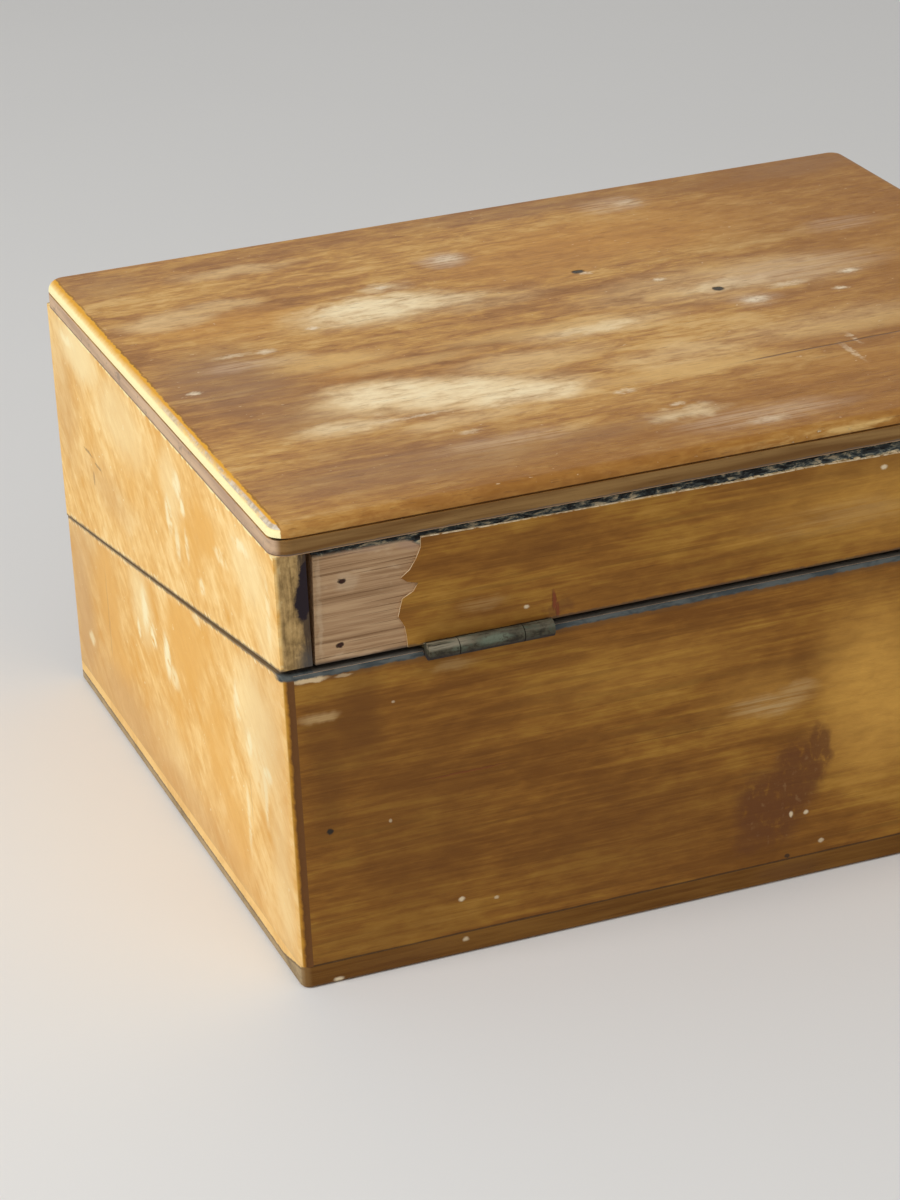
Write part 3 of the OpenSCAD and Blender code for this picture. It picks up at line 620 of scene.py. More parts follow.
def torn_wall_material():
    """The lid's rear wall: bare pinkish wood, blue-grey and chipped along its top, with painted shade under
    the panel and along the cut.
    """
    g = Graph("torn_wall")
    bands, fibres, _ = grain(g, "x", 140.0)
    fine = g.noise((42, 0.9, 1), 3.0, 0.6, 0.3, 144.0)
    tone = g.step(bands * 0.3 + fibres * 0.3 + fine * 0.45, 0.36, 0.66)
    colour = g.ramp(tone, [(0.0, (0.28, 0.16, 0.078)), (0.45, (0.42, 0.255, 0.135)),
        (1.0, (0.55, 0.36, 0.20))])
    thin = g.step(g.noise((60, 0.55, 0.6), 2.0, 0.5, 0.2, 145.0), 0.60, 0.68)
    colour = g.mix(thin * 0.75, colour, (0.21, 0.11, 0.05))
    smear = g.noise((14, 6, 5), 3.0, 0.6, 0.4, 146.0)
    colour = g.mix(g.step(smear, 0.58, 0.72) * 0.4, colour, (0.66, 0.48, 0.31))
    edge = g.step(g.x + (smear - 0.5) * 6.0, 136.0, 141.0)
    colour = g.mix(edge * 0.35, colour, (0.30, 0.22, 0.13))
    halo = g.spots([(130, 131, 3.6, 2.6, 1), (138.9, 118, 0.7, 9, 0.8),
        (138.5, 134, 0.6, 6, 0.7)], "xz", 0.5, 1.4, 148.0, 2.5)
    colour = g.mix(halo * 0.4, colour, (0.62, 0.46, 0.30))
    holes = g.spots([(131.5, 131.4, 1.2, 0.65, 1), (133.2, 111.2, 1.1, 0.65, 1)], "xz", 0.3, 0.6,
        150.0, 1.5)
    colour = g.mix(holes, colour, (0.045, 0.018, 0.012))
    glue = g.spots([(109, 140, 5, 2.4, 1), (124, 140.6, 9, 1.3, 0.8)], "xz", 0.5, 1.5, 147.0, 4.0)
    colour = g.mix(glue * 0.6, colour, (0.42, 0.27, 0.19))

    lumps = g.noise((4.2, 2, 1.3), 4.0, 0.65, 0.5, 149.0)
    dirt = g.ramp(g.step(lumps, 0.34, 0.68), [(0.0, (0.016, 0.014, 0.013)), (0.4, BLUE_DIRT),
        (0.66, (0.14, 0.15, 0.125)), (1.0, (0.55, 0.45, 0.29))])
    wall_top = PANEL_Z - 0.6
    covered = g.step(g.x, 112.0, 104.0)
    drop = g.step(g.z + (lumps - 0.5) * 1.2 + covered * 3.0, wall_top - 1.9, wall_top - 1.0) * g.step(g.y,
        BOARD_Y - 2.6, BOARD_Y - 1.9)
    colour = g.mix(drop, colour, dirt)
    # Painted shade at the top, under the panel.
    seam = g.step(g.z, wall_top - 0.35, wall_top - 0.05) * g.step(g.y, 110.0, 120.0)
    colour = g.mix(seam * 0.8, colour, GRIME_AND_SHADE)
    # Painted shade along the lower edge, over the gap.
    rim = rim_distance(g, True)
    colour = g.mix(g.step(rim + (smear - 0.5) * 1.6, 1.2, 0.1) * 0.8, colour, (0.05, 0.04, 0.035))
    inside = g.step(g.y, 115.2, 114.6)
    colour = g.mix(inside * g.step(bands, 0.3, 0.7), colour, BARE_DARK)
    height = fine * 0.16 + fibres * 0.06 - thin * 0.12 + drop * lumps * 0.7 - holes * 1.4
    return g.finish(colour, 0.66 + fibres * 0.14, height, strength=1.0)


def bare_material(name, along, seed, dark=BARE_DARK, light=BARE, rims=0):
    """Unvarnished wood inside the case, aged and a little dusty."""
    g = Graph(name)
    bands, fibres, pores = grain(g, along, seed)
    cloud = g.noise(38.0, 4.0, 0.6, 0.5, seed + 3)
    tone = g.step(bands * 0.4 + fibres * 0.3 + cloud * 0.35, 0.36, 0.68)
    middle = tuple((a + b) / 2 for a, b in zip(dark, light))
    colour = g.ramp(tone, [(0.0, dark), (0.5, middle), (1.0, light)])
    colour = g.mix(pores * 0.4, colour, tuple(c * 0.5 for c in dark))
    dust = g.step(cloud, 0.56, 0.75) * 0.3
    colour = g.mix(dust, colour, (0.56, 0.47, 0.37))
    if rims:
        # Painted shade along the cut, where lid and base meet.
        rim = rim_distance(g, rims > 1) + (fibres - 0.5) * 0.8
        colour = g.mix(g.step(rim, 1.4, 0.2) * 0.6, colour, (0.18, 0.13, 0.09))
    height = fibres * 0.09 + bands * 0.06 - pores * 0.08
    return g.finish(colour, 0.62 + fibres * 0.16, height, strength=0.8)


def rear_wall_material():
    """The base's rear wall: bare inside, blue-grey dirt and painted shade on its worn rim."""
    g = Graph("base_rear_board")
    bands, fibres, pores = grain(g, "x", 170.0)
    tone = g.step(bands * 0.55 + fibres * 0.45, 0.35, 0.66)
    colour = g.mix(tone, BARE_DARK, BARE)
    colour = g.mix(pores * 0.35, colour, (0.18, 0.10, 0.05))
    lumps = g.noise((7, 2, 2), 4.0, 0.6, 0.4, 173.0)
    rim = rim_distance(g, False) + (lumps - 0.5) * 1.0
    dirt = g.mix(g.step(lumps, 0.38, 0.64), BLUE_DIRT, PALE_DIRT)
    colour = g.mix(g.step(rim, 1.4, 0.5) * g.step(g.y, 114.0, 120.0), colour, dirt)
    # Painted shade along the cut.
    colour = g.mix(g.step(rim, 1.2, 0.2) * 0.4, colour, (0.20, 0.15, 0.10))
    return g.finish(colour, 0.64 + fibres * 0.14, fibres * 0.08 + lumps * 0.12 - pores * 0.06,
        strength=0.8)


def bottom_material():
    """The bottom board: its stained edge shows all round; below it is bare and rubbed."""
    g = Graph("bottom_wood")
    bands, fibres, pores = grain(g, "x", 190.0)
    cloud = g.noise((70, 30, 12), 3.0, 0.6, 0.5, 193.0)
    tone = g.step(cloud * 0.5 + bands * 0.3 + fibres * 0.3, 0.34, 0.68)
    side = g.ramp(tone, [(0.0, (0.105, 0.038, 0.007)), (0.55, (0.155, 0.062, 0.010)),
        (1.0, (0.23, 0.105, 0.020))])
    end_side = g.ramp(tone, [(0.0, (0.22, 0.155, 0.085)), (0.5, (0.36, 0.26, 0.14)),
        (1.0, (0.48, 0.35, 0.20))])
    lap = g.step(g.z + (fibres - 0.5) * 1.0 - g.step(g.y, 104.0, 126.0) * 3.4, 3.5, 4.1)
    end_side = g.mix(lap, end_side, g.mix(tone, (0.78, 0.46, 0.15), (0.96, 0.64, 0.25)))
    edge_line = g.band(g.z + (fibres - 0.5) * 1.0 - g.step(g.y, 104.0, 126.0) * 3.4, 3.1, 3.8, 0.2)
    end_side = g.mix(edge_line * 0.7, end_side, (0.16, 0.11, 0.055))
    colour = g.mix(g.step(abs(g.x), HALF_L - 1.3, HALF_L - 0.5), side, end_side)
    corner = g.step(abs(g.x), HALF_L - 3.4, HALF_L - 1.6) * g.step(abs(g.y), HALF_W - 2.4, HALF_W - 1.2)
    colour = g.mix(corner * 0.7, colour, (0.22, 0.12, 0.04))
    joint = g.step(g.z + (fibres - 0.5) * 0.3, BOTTOM_T - 0.35, BOTTOM_T - 0.1)
    colour = g.mix(joint * 0.85 * g.step(abs(g.x), HALF_L - 1.0, HALF_L - 3.0), colour,
        (0.06, 0.03, 0.013))
    chips = g.spots([(140.6, 1, 1.5, 0.9, 1), (99, 5, 1, 0.7, 0.7)], "xz", 0.5, 0.5, 195.0, 1.6)
    colour = g.mix(chips, colour, CHIP)
    smudge = g.spots([(-10.3, 3.5, 11, 3, 1), (118, 4, 16, 3, 0.5)], "xz", 0.6, 2.0, 196.0, 6.0)
    colour = g.mix(smudge * 0.5, colour, (0.15, 0.065, 0.022))
    rubbed = g.step(g.z + (fibres - 0.5) * 0.8, 1.2, 0.4)
    colour = g.mix(rubbed * 0.5, colour, (0.25, 0.14, 0.06))
    flat = g.step(g.z, 0.12, 0.02) | (g.step(g.z, BOTTOM_T - 0.02, BOTTOM_T)
        * g.step(abs(g.x), 142.3, 141.7))
    below = g.mix(g.step(bands * 0.5 + fibres * 0.5, 0.35, 0.66), (0.30, 0.18, 0.10), (0.50, 0.33, 0.19))
    below = g.mix(g.step(g.noise((30, 6, 6), 4.0, 0.6, 0.6, 197.0), 0.6, 0.75) * 0.5, below,
        (0.20, 0.13, 0.08))
    colour = g.mix(flat, colour, below)
    height = fibres * 0.08 + bands * 0.05 - pores * 0.08
    return g.finish(colour, 0.50 + fibres * 0.15 + flat * 0.15, height, strength=0.8)


def patina_material():
    """Old brass hinges: grey-green, whitish on top where rubbed and as a painted highlight, with painted
    shade underneath.
    """
    g = Graph("patinated_brass")
    mottle = g.noise((7, 3, 2.4), 4.0, 0.65, 0.5, 210.0)
    specks = g.noise(1.1, 3, 0.6, 0.3, 211)
    scrape = g.noise((11, 0.9, 0.7), 3.0, 0.6, 0.2, 212.0)
    tone = g.step(mottle * 0.75 + specks * 0.3, 0.36, 0.66)
    colour = g.ramp(tone, [(0.0, (0.022, 0.018, 0.012)), (0.45, PATINA), (0.8, (0.075, 0.068, 0.044)),
        (1.0, PATINA_GREEN)])
    # Painted shade under the barrels.
    under = g.step(g.z + (mottle - 0.5) * 1.2, HINGE_Z - 0.2, HINGE_Z - 1.9)
    colour = g.mix(under * 0.8, colour, UNDERSIDE_SHADE)
    # Pale top of the barrels: partly rubbed brass, partly a painted highlight.
    high = g.step(g.z + (scrape - 0.5) * 1.4, HINGE_Z + 0.7, HINGE_Z + 1.6) * g.step(g.y, 126.0, 127.2)
    outer_end = g.step(abs(g.x), 90.0, 99.0, 0.7) + 0.2
    colour = g.mix(high * outer_end * g.step(scrape, 0.36, 0.6), colour, RUBBED_AND_HIGHLIGHT)
    patch = g.spots([(86.5, 105.9, 5.2, 1.1, 1), (98, 105.2, 2.6, 0.7, 0.5)], "xz", 0.4, 0.9, 213.0,
        2.0)
    colour = g.mix(patch * g.step(specks, 0.3, 0.5), colour, (0.13, 0.15, 0.105))
    leaf = g.step(g.y, 124.6, 123.8)
    leaf_tone = g.mix(g.step(mottle, 0.42, 0.66), (0.20, 0.155, 0.085), (0.36, 0.28, 0.13))
    colour = g.mix(leaf * 0.8, colour, leaf_tone)
    metal = g.step(scrape, 0.52, 0.68) * 0.45 + leaf * 0.35
    rough = 0.66 - high * 0.12 + specks * 0.16 - leaf * 0.1
    return g.finish(colour, rough, mottle * 0.16 + specks * 0.10, metal, 1.0, PATINA_GLOSS)


def brass_material(name, seed, bright):
    """Tarnished brass, brighter where fingers and neighbours rub it."""
    g = Graph(name)
    mottle = g.noise(5.0, 4.0, 0.6, 0.5, seed)
    specks = g.noise(0.9, 3.0, 0.6, 0.3, seed + 1)
    scratch = g.noise((0.4, 3, 8), 2.0, 0.5, 0.3, seed + 2)
    tone = g.step(mottle * 0.7 + specks * 0.3 + bright, 0.36, 0.70)
    colour = g.ramp(tone, [(0.0, BRASS_DARK), (0.45, (0.33, 0.235, 0.10)), (0.8, BRASS),
        (1.0, BRASS_BRIGHT)])
    colour = g.mix(g.step(specks, 0.62, 0.70) * 0.7, colour, (0.07, 0.055, 0.035))
    rough = 0.52 - tone * 0.20 + specks * 0.12
    return g.finish(colour, rough, mottle * 0.05 + specks * 0.05 + scratch * 0.02, 0.9, 0.8, METAL_GLOSS)


LID_RIGHT_MARKS = {
    "orange": [(53, 124, 14, 9, 0.9), (38, 112, 13, 12, 0.6), (8, 122, 9, 14, 0.5),
        (-30, 118, 12, 16, 0.35), (76, 115, 14, 6, 0.4)],
    "dull": [(-112, 112, 16, 24, 0.5), (-60, 96, 28, 8, 0.35), (-90, 128, 10, 10, 0.25)],
    "pale": [(-88, 136, 26, 8, 1), (-40, 128, 26, 12, 0.7), (100, 128, 16, 10, 0.7),
        (18, 126, 10, 12, 0.6), (112, 112, 10, 10, 0.5)],
    "white": [(26, 130, 4, 4, 0.9), (31, 124, 2.4, 3, 0.9), (14, 115, 3, 6, 0.8),
        (22, 108, 2.4, 5, 0.7), (33, 111, 2, 5, 0.7), (70, 122, 6, 2, 0.6),
        (46, 103, 3, 2.2, 0.7), (-100, 137, 8, 2, 0.7), (92, 134, 7, 1.5, 0.8), (116, 122, 2, 10, 0.5)],
    "cracks": [(-84, 101.5, 5, 0.45, 0.9), (-72, 100, 4, 0.5, 0.9), (-79, 93.6, 1, 2.4, 0.8)],
}
LID_LEFT_MARKS = {
    "orange": [(-48, 118, 16, 9, 0.7), (30, 126, 14, 7, 0.6), (86, 120, 12, 9, 0.5)],
    "dull": [(-104, 106, 18, 20, 0.5), (104, 128, 14, 10, 0.35)],
    "pale": [(0, 124, 30, 10, 0.7), (-90, 130, 20, 8, 0.6), (66, 113, 18, 6, 0.5)],
    "white": [(-20, 112, 7, 1.6, 0.7), (52, 128, 5, 2, 0.6), (-70, 124, 3, 4, 0.6),
        (96, 113, 6, 1.4, 0.5)],
    "cracks": [(40, 116, 6, 0.4, 0.6), (-96, 96, 4, 0.5, 0.6)],
}
BASE_RIGHT_MARKS = {
    "orange": [(-74, 52, 13, 20, 0.9), (-66, 30, 12, 12, 0.8), (20, 72, 20, 15, 0.9),
        (34, 84, 18, 8, 0.7), (52, 50, 14, 20, 0.7), (64, 26, 14, 16, 0.7), (8, 40, 6, 12, 0.5),
        (-22, 50, 5, 8, 0.3)],
    "dull": [(-112, 30, 14, 30, 0.8), (-60, 14, 40, 12, 0.55), (0, 12, 60, 8, 0.45),
        (-104, 56, 10, 12, 0.4)],
    "pale": [(-30, 68, 12, 14, 0.7), (96, 76, 20, 18, 0.8), (-10, 26, 20, 10, 0.3), (112, 30, 8, 30, 0.5),
        (-96, 66, 8, 5, 0.4)],
    "white": [(-26, 66, 3.6, 7, 0.9), (-18, 60, 3.2, 3.5, 1), (-2, 59, 3.2, 7.5, 1),
        (5, 54, 4.5, 3.5, 0.6), (-36, 55, 1.5, 3.6, 0.9), (76, 76, 2.5, 6, 0.8), (86, 66, 3, 4, 0.9),
        (100, 54, 2, 9, 0.7), (96, 62, 8, 10, 0.3), (80, 38, 1.4, 10, 0.6), (-103, 23.8, 3.6, 2.4, 0.9),
        (103, 63.4, 4, 2.6, 1), (38, 88, 6, 1.5, 0.5)],
    "cracks": [(-76, 44, 0.8, 16, 0.35), (84, 46, 0.6, 8, 0.3)],
}
BASE_LEFT_MARKS = {
    "orange": [(62, 60, 14, 18, 0.8), (-30, 40, 16, 14, 0.6), (-88, 34, 12, 14, 0.5),
        (10, 76, 20, 8, 0.5)],
    "dull": [(108, 40, 12, 30, 0.6), (0, 13, 70, 8, 0.5), (-112, 24, 12, 20, 0.5)],
    "pale": [(20, 48, 24, 12, 0.6), (92, 76, 18, 10, 0.6), (-64, 58, 20, 10, 0.5)],
    "white": [(34, 60, 2.5, 9, 0.8), (-12, 66, 2.5, 8, 0.7), (80, 44, 5, 2, 0.6),
        (-54, 36, 2, 7, 0.6)],
    "cracks": [(48, 52, 0.7, 13, 0.4), (-70, 44, 0.7, 9, 0.4)],
}
LID_REAR_MARKS = {
    "gold": [(-70, 126, 60, 12, 0.6), (-120, 120, 40, 16, 0.5)],
    "dark": [(70, 132, 14, 6, 0.35), (92, 113, 14, 5, 0.4), (20, 112, 40, 4, 0.3)],
    "pale": [(88, 116, 7, 2, 0.35), (-30, 121, 24, 4, 0.3), (-90, 130, 24, 4, 0.3)],
    "stain": [(64, 109.5, 5, 2.2, 0.6)],
    "flecks": [(74.5, 112, 0.8, 0.6, 0.8), (-44, 134.8, 1, 0.7, 0.9)],
    "cracks": [(65.6, 112.4, 0.7, 3, 1), (64.6, 109.2, 0.6, 2.4, 0.9)],
}
LID_FRONT_MARKS = {
    "gold": [(60, 104, 50, 24, 0.4), (-80, 120, 40, 14, 0.35)],
    "dark": [(-120, 80, 24, 12, 0.5), (0, 72, 70, 5, 0.45), (118, 132, 20, 8, 0.4)],
    "pale": [(-30, 96, 26, 4, 0.4), (84, 84, 16, 3, 0.4)],
    "stain": [(92, 82, 8, 12, 0.6), (-88, 80, 7, 11, 0.6)],
    "flecks": [(12, 88, 0.9, 0.7, 0.8), (-64, 110, 0.8, 0.6, 0.8)],
    "cracks": [(34, 120, 9, 0.3, 0.5)],
}
BASE_REAR_MARKS = {
    "gold": [(-42, 60, 18, 26, 1), (-90, 66, 44, 26, 0.9), (-4, 66, 16, 10, 0.35),
        (-120, 30, 26, 22, 0.5), (40, 84, 30, 8, 0.2)],
    "dark": [(130, 84, 9, 16, 0.9), (140, 70, 6, 24, 0.8), (112, 42, 26, 34, 0.55), (46, 28, 44, 18, 0.5),
        (120, 12, 30, 6, 0.5), (139, 20, 6, 14, 0.3), (66, 27, 16, 3, 0.6), (40, 13, 60, 3.5, 0.4),
        (102, 60, 40, 1.6, 0.4), (27, 63, 22, 1.6, 0.5), (103, 99, 8, 4, 0.5), (64, 30, 26, 8, 0.25)],
    "pale": [(-5, 63, 11, 3.4, 0.9), (141, 89.5, 5, 1.6, 0.9), (-14, 66, 6, 2.4, 0.6),
        (98, 98, 6, 1.6, 0.4)],
    "stain": [(-4, 27, 12, 13, 1), (-14, 36, 9, 12, 1), (-22, 45, 3.4, 8, 0.9), (3, 17, 6, 5, 0.7)],
    "holes": [(140.3, 51.6, 1.1, 1, 1), (-10, 8.6, 0.9, 0.7, 0.8)],
    "flecks": [(99.6, 19.1, 0.9, 0.8, 0.9), (88.3, 17.1, 0.8, 0.5, 0.6), (-11.6, 23.1, 0.6, 1, 0.9),
        (-16.8, 22.7, 0.8, 0.7, 0.9), (-21.9, 11.5, 0.9, 0.7, 0.7), (118, 90, 0.5, 0.4, 0.5),
        (121, 51, 0.5, 0.6, 0.5)],
    "cracks": [(96, 62, 12, 0.3, 0.5)],
    "chip": [(143.5, 102.2, 5.2, 0.8, 1), (133, 101.8, 2.6, 0.5, 0.5)],
}
BASE_FRONT_MARKS = {
    "gold": [(20, 36, 60, 18, 0.5), (-96, 44, 30, 12, 0.35)],
    "dark": [(-124, 30, 18, 20, 0.5), (120, 16, 26, 8, 0.5), (0, 12, 90, 4, 0.45)],
    "pale": [(44, 44, 18, 3, 0.5), (-50, 26, 16, 3, 0.4)],
    "stain": [(90, 34, 6, 12, 0.7), (-90, 33, 6, 12, 0.7)],
    "flecks": [(10, 22, 0.9, 0.8, 0.9), (-36, 40, 0.8, 0.6, 0.7)],
    "cracks": [(-20, 50, 14, 0.3, 0.5)],
    "chip": [(-40, 62, 3, 0.7, 0.8)],
}


def dress(material, *nodes):
    """Gives CAD nodes one material."""
    for node in nodes:
        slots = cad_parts[node].data.materials
        for i in range(len(slots)):
            slots[i] = material
        if not slots:
            slots.append(material)


def dress_case():
    """Gives every CAD piece that stays its material."""
    dress(panel_material(), "lid_panel")
    for name, node, side, lid, marks in (
        ("lid_end_right", "lid_right_wall", 1, True, LID_RIGHT_MARKS),
        ("lid_end_left", "lid_left_wall", -1, True, LID_LEFT_MARKS),
        ("base_end_right", "base_right_wall", 1, False, BASE_RIGHT_MARKS),
        ("base_end_left", "base_left_wall", -1, False, BASE_LEFT_MARKS),
    ):
        dress(end_material(name, side, lid, marks), node)
    for name, node, side, lid, marks in (
        ("lid_rear_face", "lid_rear_veneer", 1, True, LID_REAR_MARKS),
        ("lid_front_face", "lid_front_veneer", -1, True, LID_FRONT_MARKS),
        ("base_rear_face", "base_rear_veneer", 1, False, BASE_REAR_MARKS),
        ("base_front_face", "base_front_veneer", -1, False, BASE_FRONT_MARKS),
    ):
        dress(veneer_material(name, side, lid, marks), node)
    dress(torn_wall_material(), "lid_rear_wall")
    dress(rear_wall_material(), "base_rear_wall")
    dress(bare_material("base_front_board", "x", 220.0, rims=1), "base_front_wall")
    dress(bare_material("lid_front_board", "x", 226.0, rims=2), "lid_front_wall")
    dress(bottom_material(), "base_bottom")
    fitting_dark, fitting_light = (0.22, 0.10, 0.045), (0.40, 0.21, 0.10)
    dress(bare_material("divider_wood", "y", 232.0, fitting_dark, fitting_light), "divider")
    dress(bare_material("rack_wood", "y", 238.0, fitting_dark, fitting_light), "accessory_rack")
    dress(bare_material("saddle_wood", "y", 244.0, fitting_dark, fitting_light), "left_saddle",
        "right_saddle")
    dress(bare_material("rail_wood", "x", 250.0, fitting_dark, fitting_light), "foot_rails")
    dress(bare_material("block_wood", "z", 256.0, BARE_DARK, BARE_PALE), "lid_corner_blocks")
    dress(patina_material(), "left_hinge_base_leaf", "right_hinge_base_leaf", "left_hinge_lid_leaf",
        "right_hinge_lid_leaf", "left_hinge_pin", "right_hinge_pin")
    dress(brass_material("hook_brass", 262.0, 0.02), "left_hook", "right_hook")


def add_object(name, data):
    """A new object in the scene."""
    made = bpy.data.objects.new(name, data)
    bpy.context.scene.collection.objects.link(made)
    return made


def mesh_of(bm, name):
    """The finished mesh of a bmesh, which is freed."""
    mesh = bpy.data.meshes.new(name)
    bm.to_mesh(mesh)
    bm.free()
    return mesh


def slot_cutter(places, slot):
    """Bars that cut slots. Each place is a matrix with its origin on a head's top and -Z into it."""
    length, width, depth = slot
    bm = bmesh.new()
    for place in places:
        turn = Matrix.Rotation(random.uniform(0.0, math.pi), 4, "Z")
        bar = Matrix.Diagonal((length, width, 2 * depth, 1.0))
        bmesh.ops.create_cube(bm, size=MM, matrix=place @ turn @ bar)
    return add_object("slot_cutter", mesh_of(bm, "slot_cutter"))


def slotted(name, node, body, places, finish, material, slot):
    """Screws with slots cut across their heads, standing for a CAD node."""
    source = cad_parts[node]
    piece = add_object(name, source.data.copy())
    piece.matrix_world = source.matrix_world.copy()
    cutter = slot_cutter(places, slot)
    cut = piece.modifiers.new("slots", "BOOLEAN")
    cut.operation = "DIFFERENCE"
    cut.solver = "EXACT"
    cut.object = cutter
    shaped = piece.evaluated_get(bpy.context.evaluated_depsgraph_get())
    mesh = bpy.data.meshes.new_from_object(shaped)
    piece.modifiers.clear()
    piece.data = mesh
    bpy.data.objects.remove(cutter)
    mesh.materials.clear()
    mesh.materials.append(material)
    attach(piece, body)
    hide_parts(node)


def leaf_places(upward, slope):
    """The tops of the screw heads in the leaves of both hinges."""
    tilt = Matrix.Rotation(math.radians(slope), 4, "X")
    flip = Matrix.Rotation(math.pi if upward > 0 else 0.0, 4, "X")
    places = []
    for side in (-1, 1):
        hinge = Matrix.Translation(Vector((side * HINGE_X, HINGE_Y, HINGE_Z)) * MM)
        for i in (-1, 0, 1):
            head = Matrix.Translation(Vector((i * LEAF_SCREW_PITCH, LEAF_SCREW_Y,
                upward * HALF_LEAF_GAP)) * MM)
            places.append(hinge @ tilt @ head @ flip)
    return places


def front_places(x, z):
    """The tops of the two round heads on the front, at x to the left and right."""
    facing = Matrix.Rotation(math.pi / 2, 4, "X")
    return [Matrix.Translation(Vector((side * x, -HEAD_TOP_Y, z)) * MM) @ facing for side in (-1, 1)]


def edge_height(x):
    """Height of the chipped edge at x."""
    for (x0, z0), (x1, z1) in zip(CHIPPED_EDGE, CHIPPED_EDGE[1:]):
        if x1 <= x <= x0:
            return z0 + (z1 - z0) * (x - x0) / (x1 - x0)
    return CHIPPED_EDGE[-1][1]


def add_flake(bm, x, z, length, height, thickness):
    """A ragged sliver of veneer left standing on the lid's rear wall."""
    back, front = [], []
    for i in range(FLAKE_CORNERS):
        angle = 2 * math.pi * i / FLAKE_CORNERS
        reach = random.uniform(0.55, 1.0)
        u, v = length * reach * math.cos(angle), height * reach * math.sin(angle)
        back.append(bm.verts.new(Vector((x + u, BOARD_Y - 0.05, z + v)) * MM))
        front.append(bm.verts.new(Vector((x + u * 0.8, BOARD_Y + thickness, z + v * 0.75)) * MM))
    bm.faces.new(back)
    bm.faces.new(reversed(front))
    for i in range(FLAKE_CORNERS):
        j = (i + 1) % FLAKE_CORNERS
        bm.faces.new((back[j], back[i], front[i], front[j]))


def flake_material():
    """Broken veneer, seen on edge."""
    g = Graph("broken_veneer")
    blotch = g.noise((2, 2, 1.2), 3.0, 0.6, 0.3, 280.0)
    fibres = g.noise((6, 0.4, 0.4), 3.0, 0.6, 0.2, 281.0)
    colour = g.ramp(g.step(blotch * 0.6 + fibres * 0.4, 0.36, 0.62),
        [(0.0, (0.20, 0.13, 0.06)), (0.4, (0.46, 0.33, 0.17)), (1.0, CHIP)])
    return g.finish(colour, 0.6 + fibres * 0.2, fibres * 0.1 + blotch * 0.05)


def make_flakes():
    """Cream slivers along the veneer's chipped edge."""
    random.seed(FLAKE_SEED)
    bm = bmesh.new()
    x = FLAKES_FROM
    while x > FLAKES_TO:
        x -= random.uniform(0.8, 5.5)
        length, height = random.uniform(0.8, 3.2), random.uniform(0.25, 0.75)
        z = min(edge_height(x) + height * random.uniform(0.1, 0.9), PANEL_Z - 2.6 - height)
        add_flake(bm, x, z, length, height, random.uniform(0.2, 0.62))
    bmesh.ops.recalc_face_normals(bm, faces=bm.faces)
    mesh = mesh_of(bm, "veneer_flakes")
    mesh.materials.append(flake_material())
    flakes = add_object("veneer_flakes", mesh)
    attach(flakes, "lid")


def make_screws():
    """The four sets of screws and studs. Their slots are turned at random, in this order."""
    random.seed(SCREW_SEED)
    worn = brass_material("screw_brass", 268.0, -0.05)
    leaf = ("patinated_brass", worn, LEAF_SLOT)
    front = ("hook_brass", worn, FRONT_SLOT)
    slotted("base_leaf_screws", "base_hinge_screws", "base", leaf_places(-1, BASE_TILT), *leaf)
    slotted("lid_leaf_screws", "lid_hinge_screws", "lid", leaf_places(1, LID_TILT), *leaf)
    slotted("pivot_screws", "hook_pivot_screws", "base", front_places(PIVOT_X, PIVOT_Z), *front)
    slotted("closing_studs", "hook_studs", "lid", front_places(STUD_X, STUD_Z), *front)


def stage_material():
    """A plain pale floor."""
    g = Graph("pale_floor")
    soft = g.noise(420, 3, 0.5, 0.3, 300)
    colour = g.mix(g.step(soft, 0.3, 0.7), tuple(c * 0.985 for c in FLOOR), FLOOR)
    return g.finish(colour, 0.9)


def make_stage():
    """A floor wide enough to reach past every view."""
    mesh = bpy.data.meshes.new("floor")
    corners = [(u * FLOOR_REACH, v * FLOOR_REACH, 0) for u, v in ((-1, -1), (1, -1), (1, 1), (-1, 1))]
    mesh.from_pydata(corners, [], [(0, 1, 2, 3)])
    mesh.materials.append(stage_material())
    add_object("floor", mesh)


def area_light(name, place, power, size, target=(0.0, 0.0, 0.07)):
    """A round lamp that faces the case."""
    data = bpy.data.lights.new(name, "AREA")
    data.shape = "DISK"
    data.size = size
    data.energy = power
    light = add_object(name, data)
    light.location = place
    light.rotation_euler = (Vector(target) - Vector(place)).to_track_quat("-Z", "Y").to_euler()


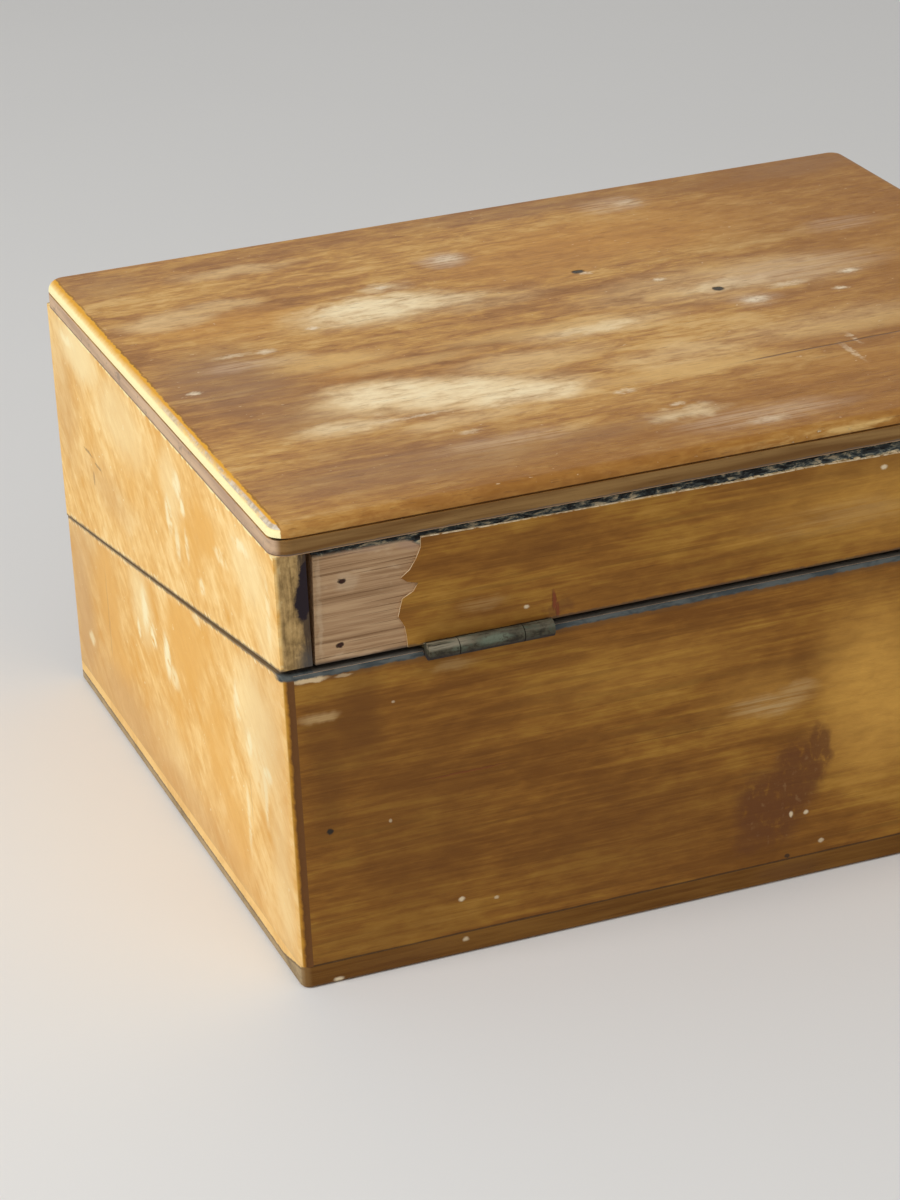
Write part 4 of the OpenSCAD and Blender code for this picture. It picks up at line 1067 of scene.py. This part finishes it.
def make_world():
    """White fill light; the camera and glossy surfaces see the pale backdrop."""
    world = bpy.data.worlds.new("studio")
    bpy.context.scene.world = world
    world.use_nodes = True
    nodes, links = world.node_tree.nodes, world.node_tree.links
    nodes.clear()
    rays = nodes.new("ShaderNodeLightPath")
    fill = nodes.new("ShaderNodeBackground")
    fill.inputs[0].default_value = (1.0, 1.0, 1.0, 1.0)
    fill.inputs[1].default_value = FILL_LIGHT
    shown = nodes.new("ShaderNodeBackground")
    shown.inputs[0].default_value = (*BACKDROP, 1.0)
    shown.inputs[1].default_value = 1.0
    seen = nodes.new("ShaderNodeMath")
    seen.operation = "MAXIMUM"
    through = nodes.new("ShaderNodeMath")
    through.operation = "MAXIMUM"
    links.new(rays.outputs["Is Glossy Ray"], through.inputs[0])
    links.new(rays.outputs["Is Transmission Ray"], through.inputs[1])
    links.new(rays.outputs["Is Camera Ray"], seen.inputs[0])
    links.new(through.outputs[0], seen.inputs[1])
    mixed = nodes.new("ShaderNodeMixShader")
    links.new(seen.outputs[0], mixed.inputs[0])
    links.new(fill.outputs[0], mixed.inputs[1])
    links.new(shown.outputs[0], mixed.inputs[2])
    output = nodes.new("ShaderNodeOutputWorld")
    links.new(mixed.outputs[0], output.inputs[0])


def make_camera():
    """The photograph's view, solved from the case's corners and joints."""
    yaw, pitch, roll = CAMERA_YAW, CAMERA_PITCH, CAMERA_ROLL
    forward = Vector((math.sin(yaw) * math.cos(pitch), -math.cos(yaw) * math.cos(pitch),
        -math.sin(pitch)))
    level = forward.cross(Vector((0, 0, 1))).normalized()
    upward = level.cross(forward)
    right = math.cos(roll) * level + math.sin(roll) * upward
    up = -math.sin(roll) * level + math.cos(roll) * upward
    turn = Matrix((right, up, -forward)).transposed()
    data = bpy.data.cameras.new("camera")
    data.lens = CAMERA_LENS
    data.sensor_width = SENSOR_W
    data.clip_start = 0.02
    camera = add_object("camera", data)
    camera.matrix_world = Matrix.Translation(Vector(CAMERA_PLACE)) @ turn.to_4x4()
    bpy.context.scene.camera = camera


make_camera()
make_world()
make_stage()
area_light("key", (1.45, 0.35, 1.45), 24.0, 1.0)
area_light("rear_fill", (-0.5, 2.2, 0.9), 4.0, 1.4)
bpy.context.scene.view_settings.view_transform = "Standard"
dress_case()
make_screws()
make_flakes()
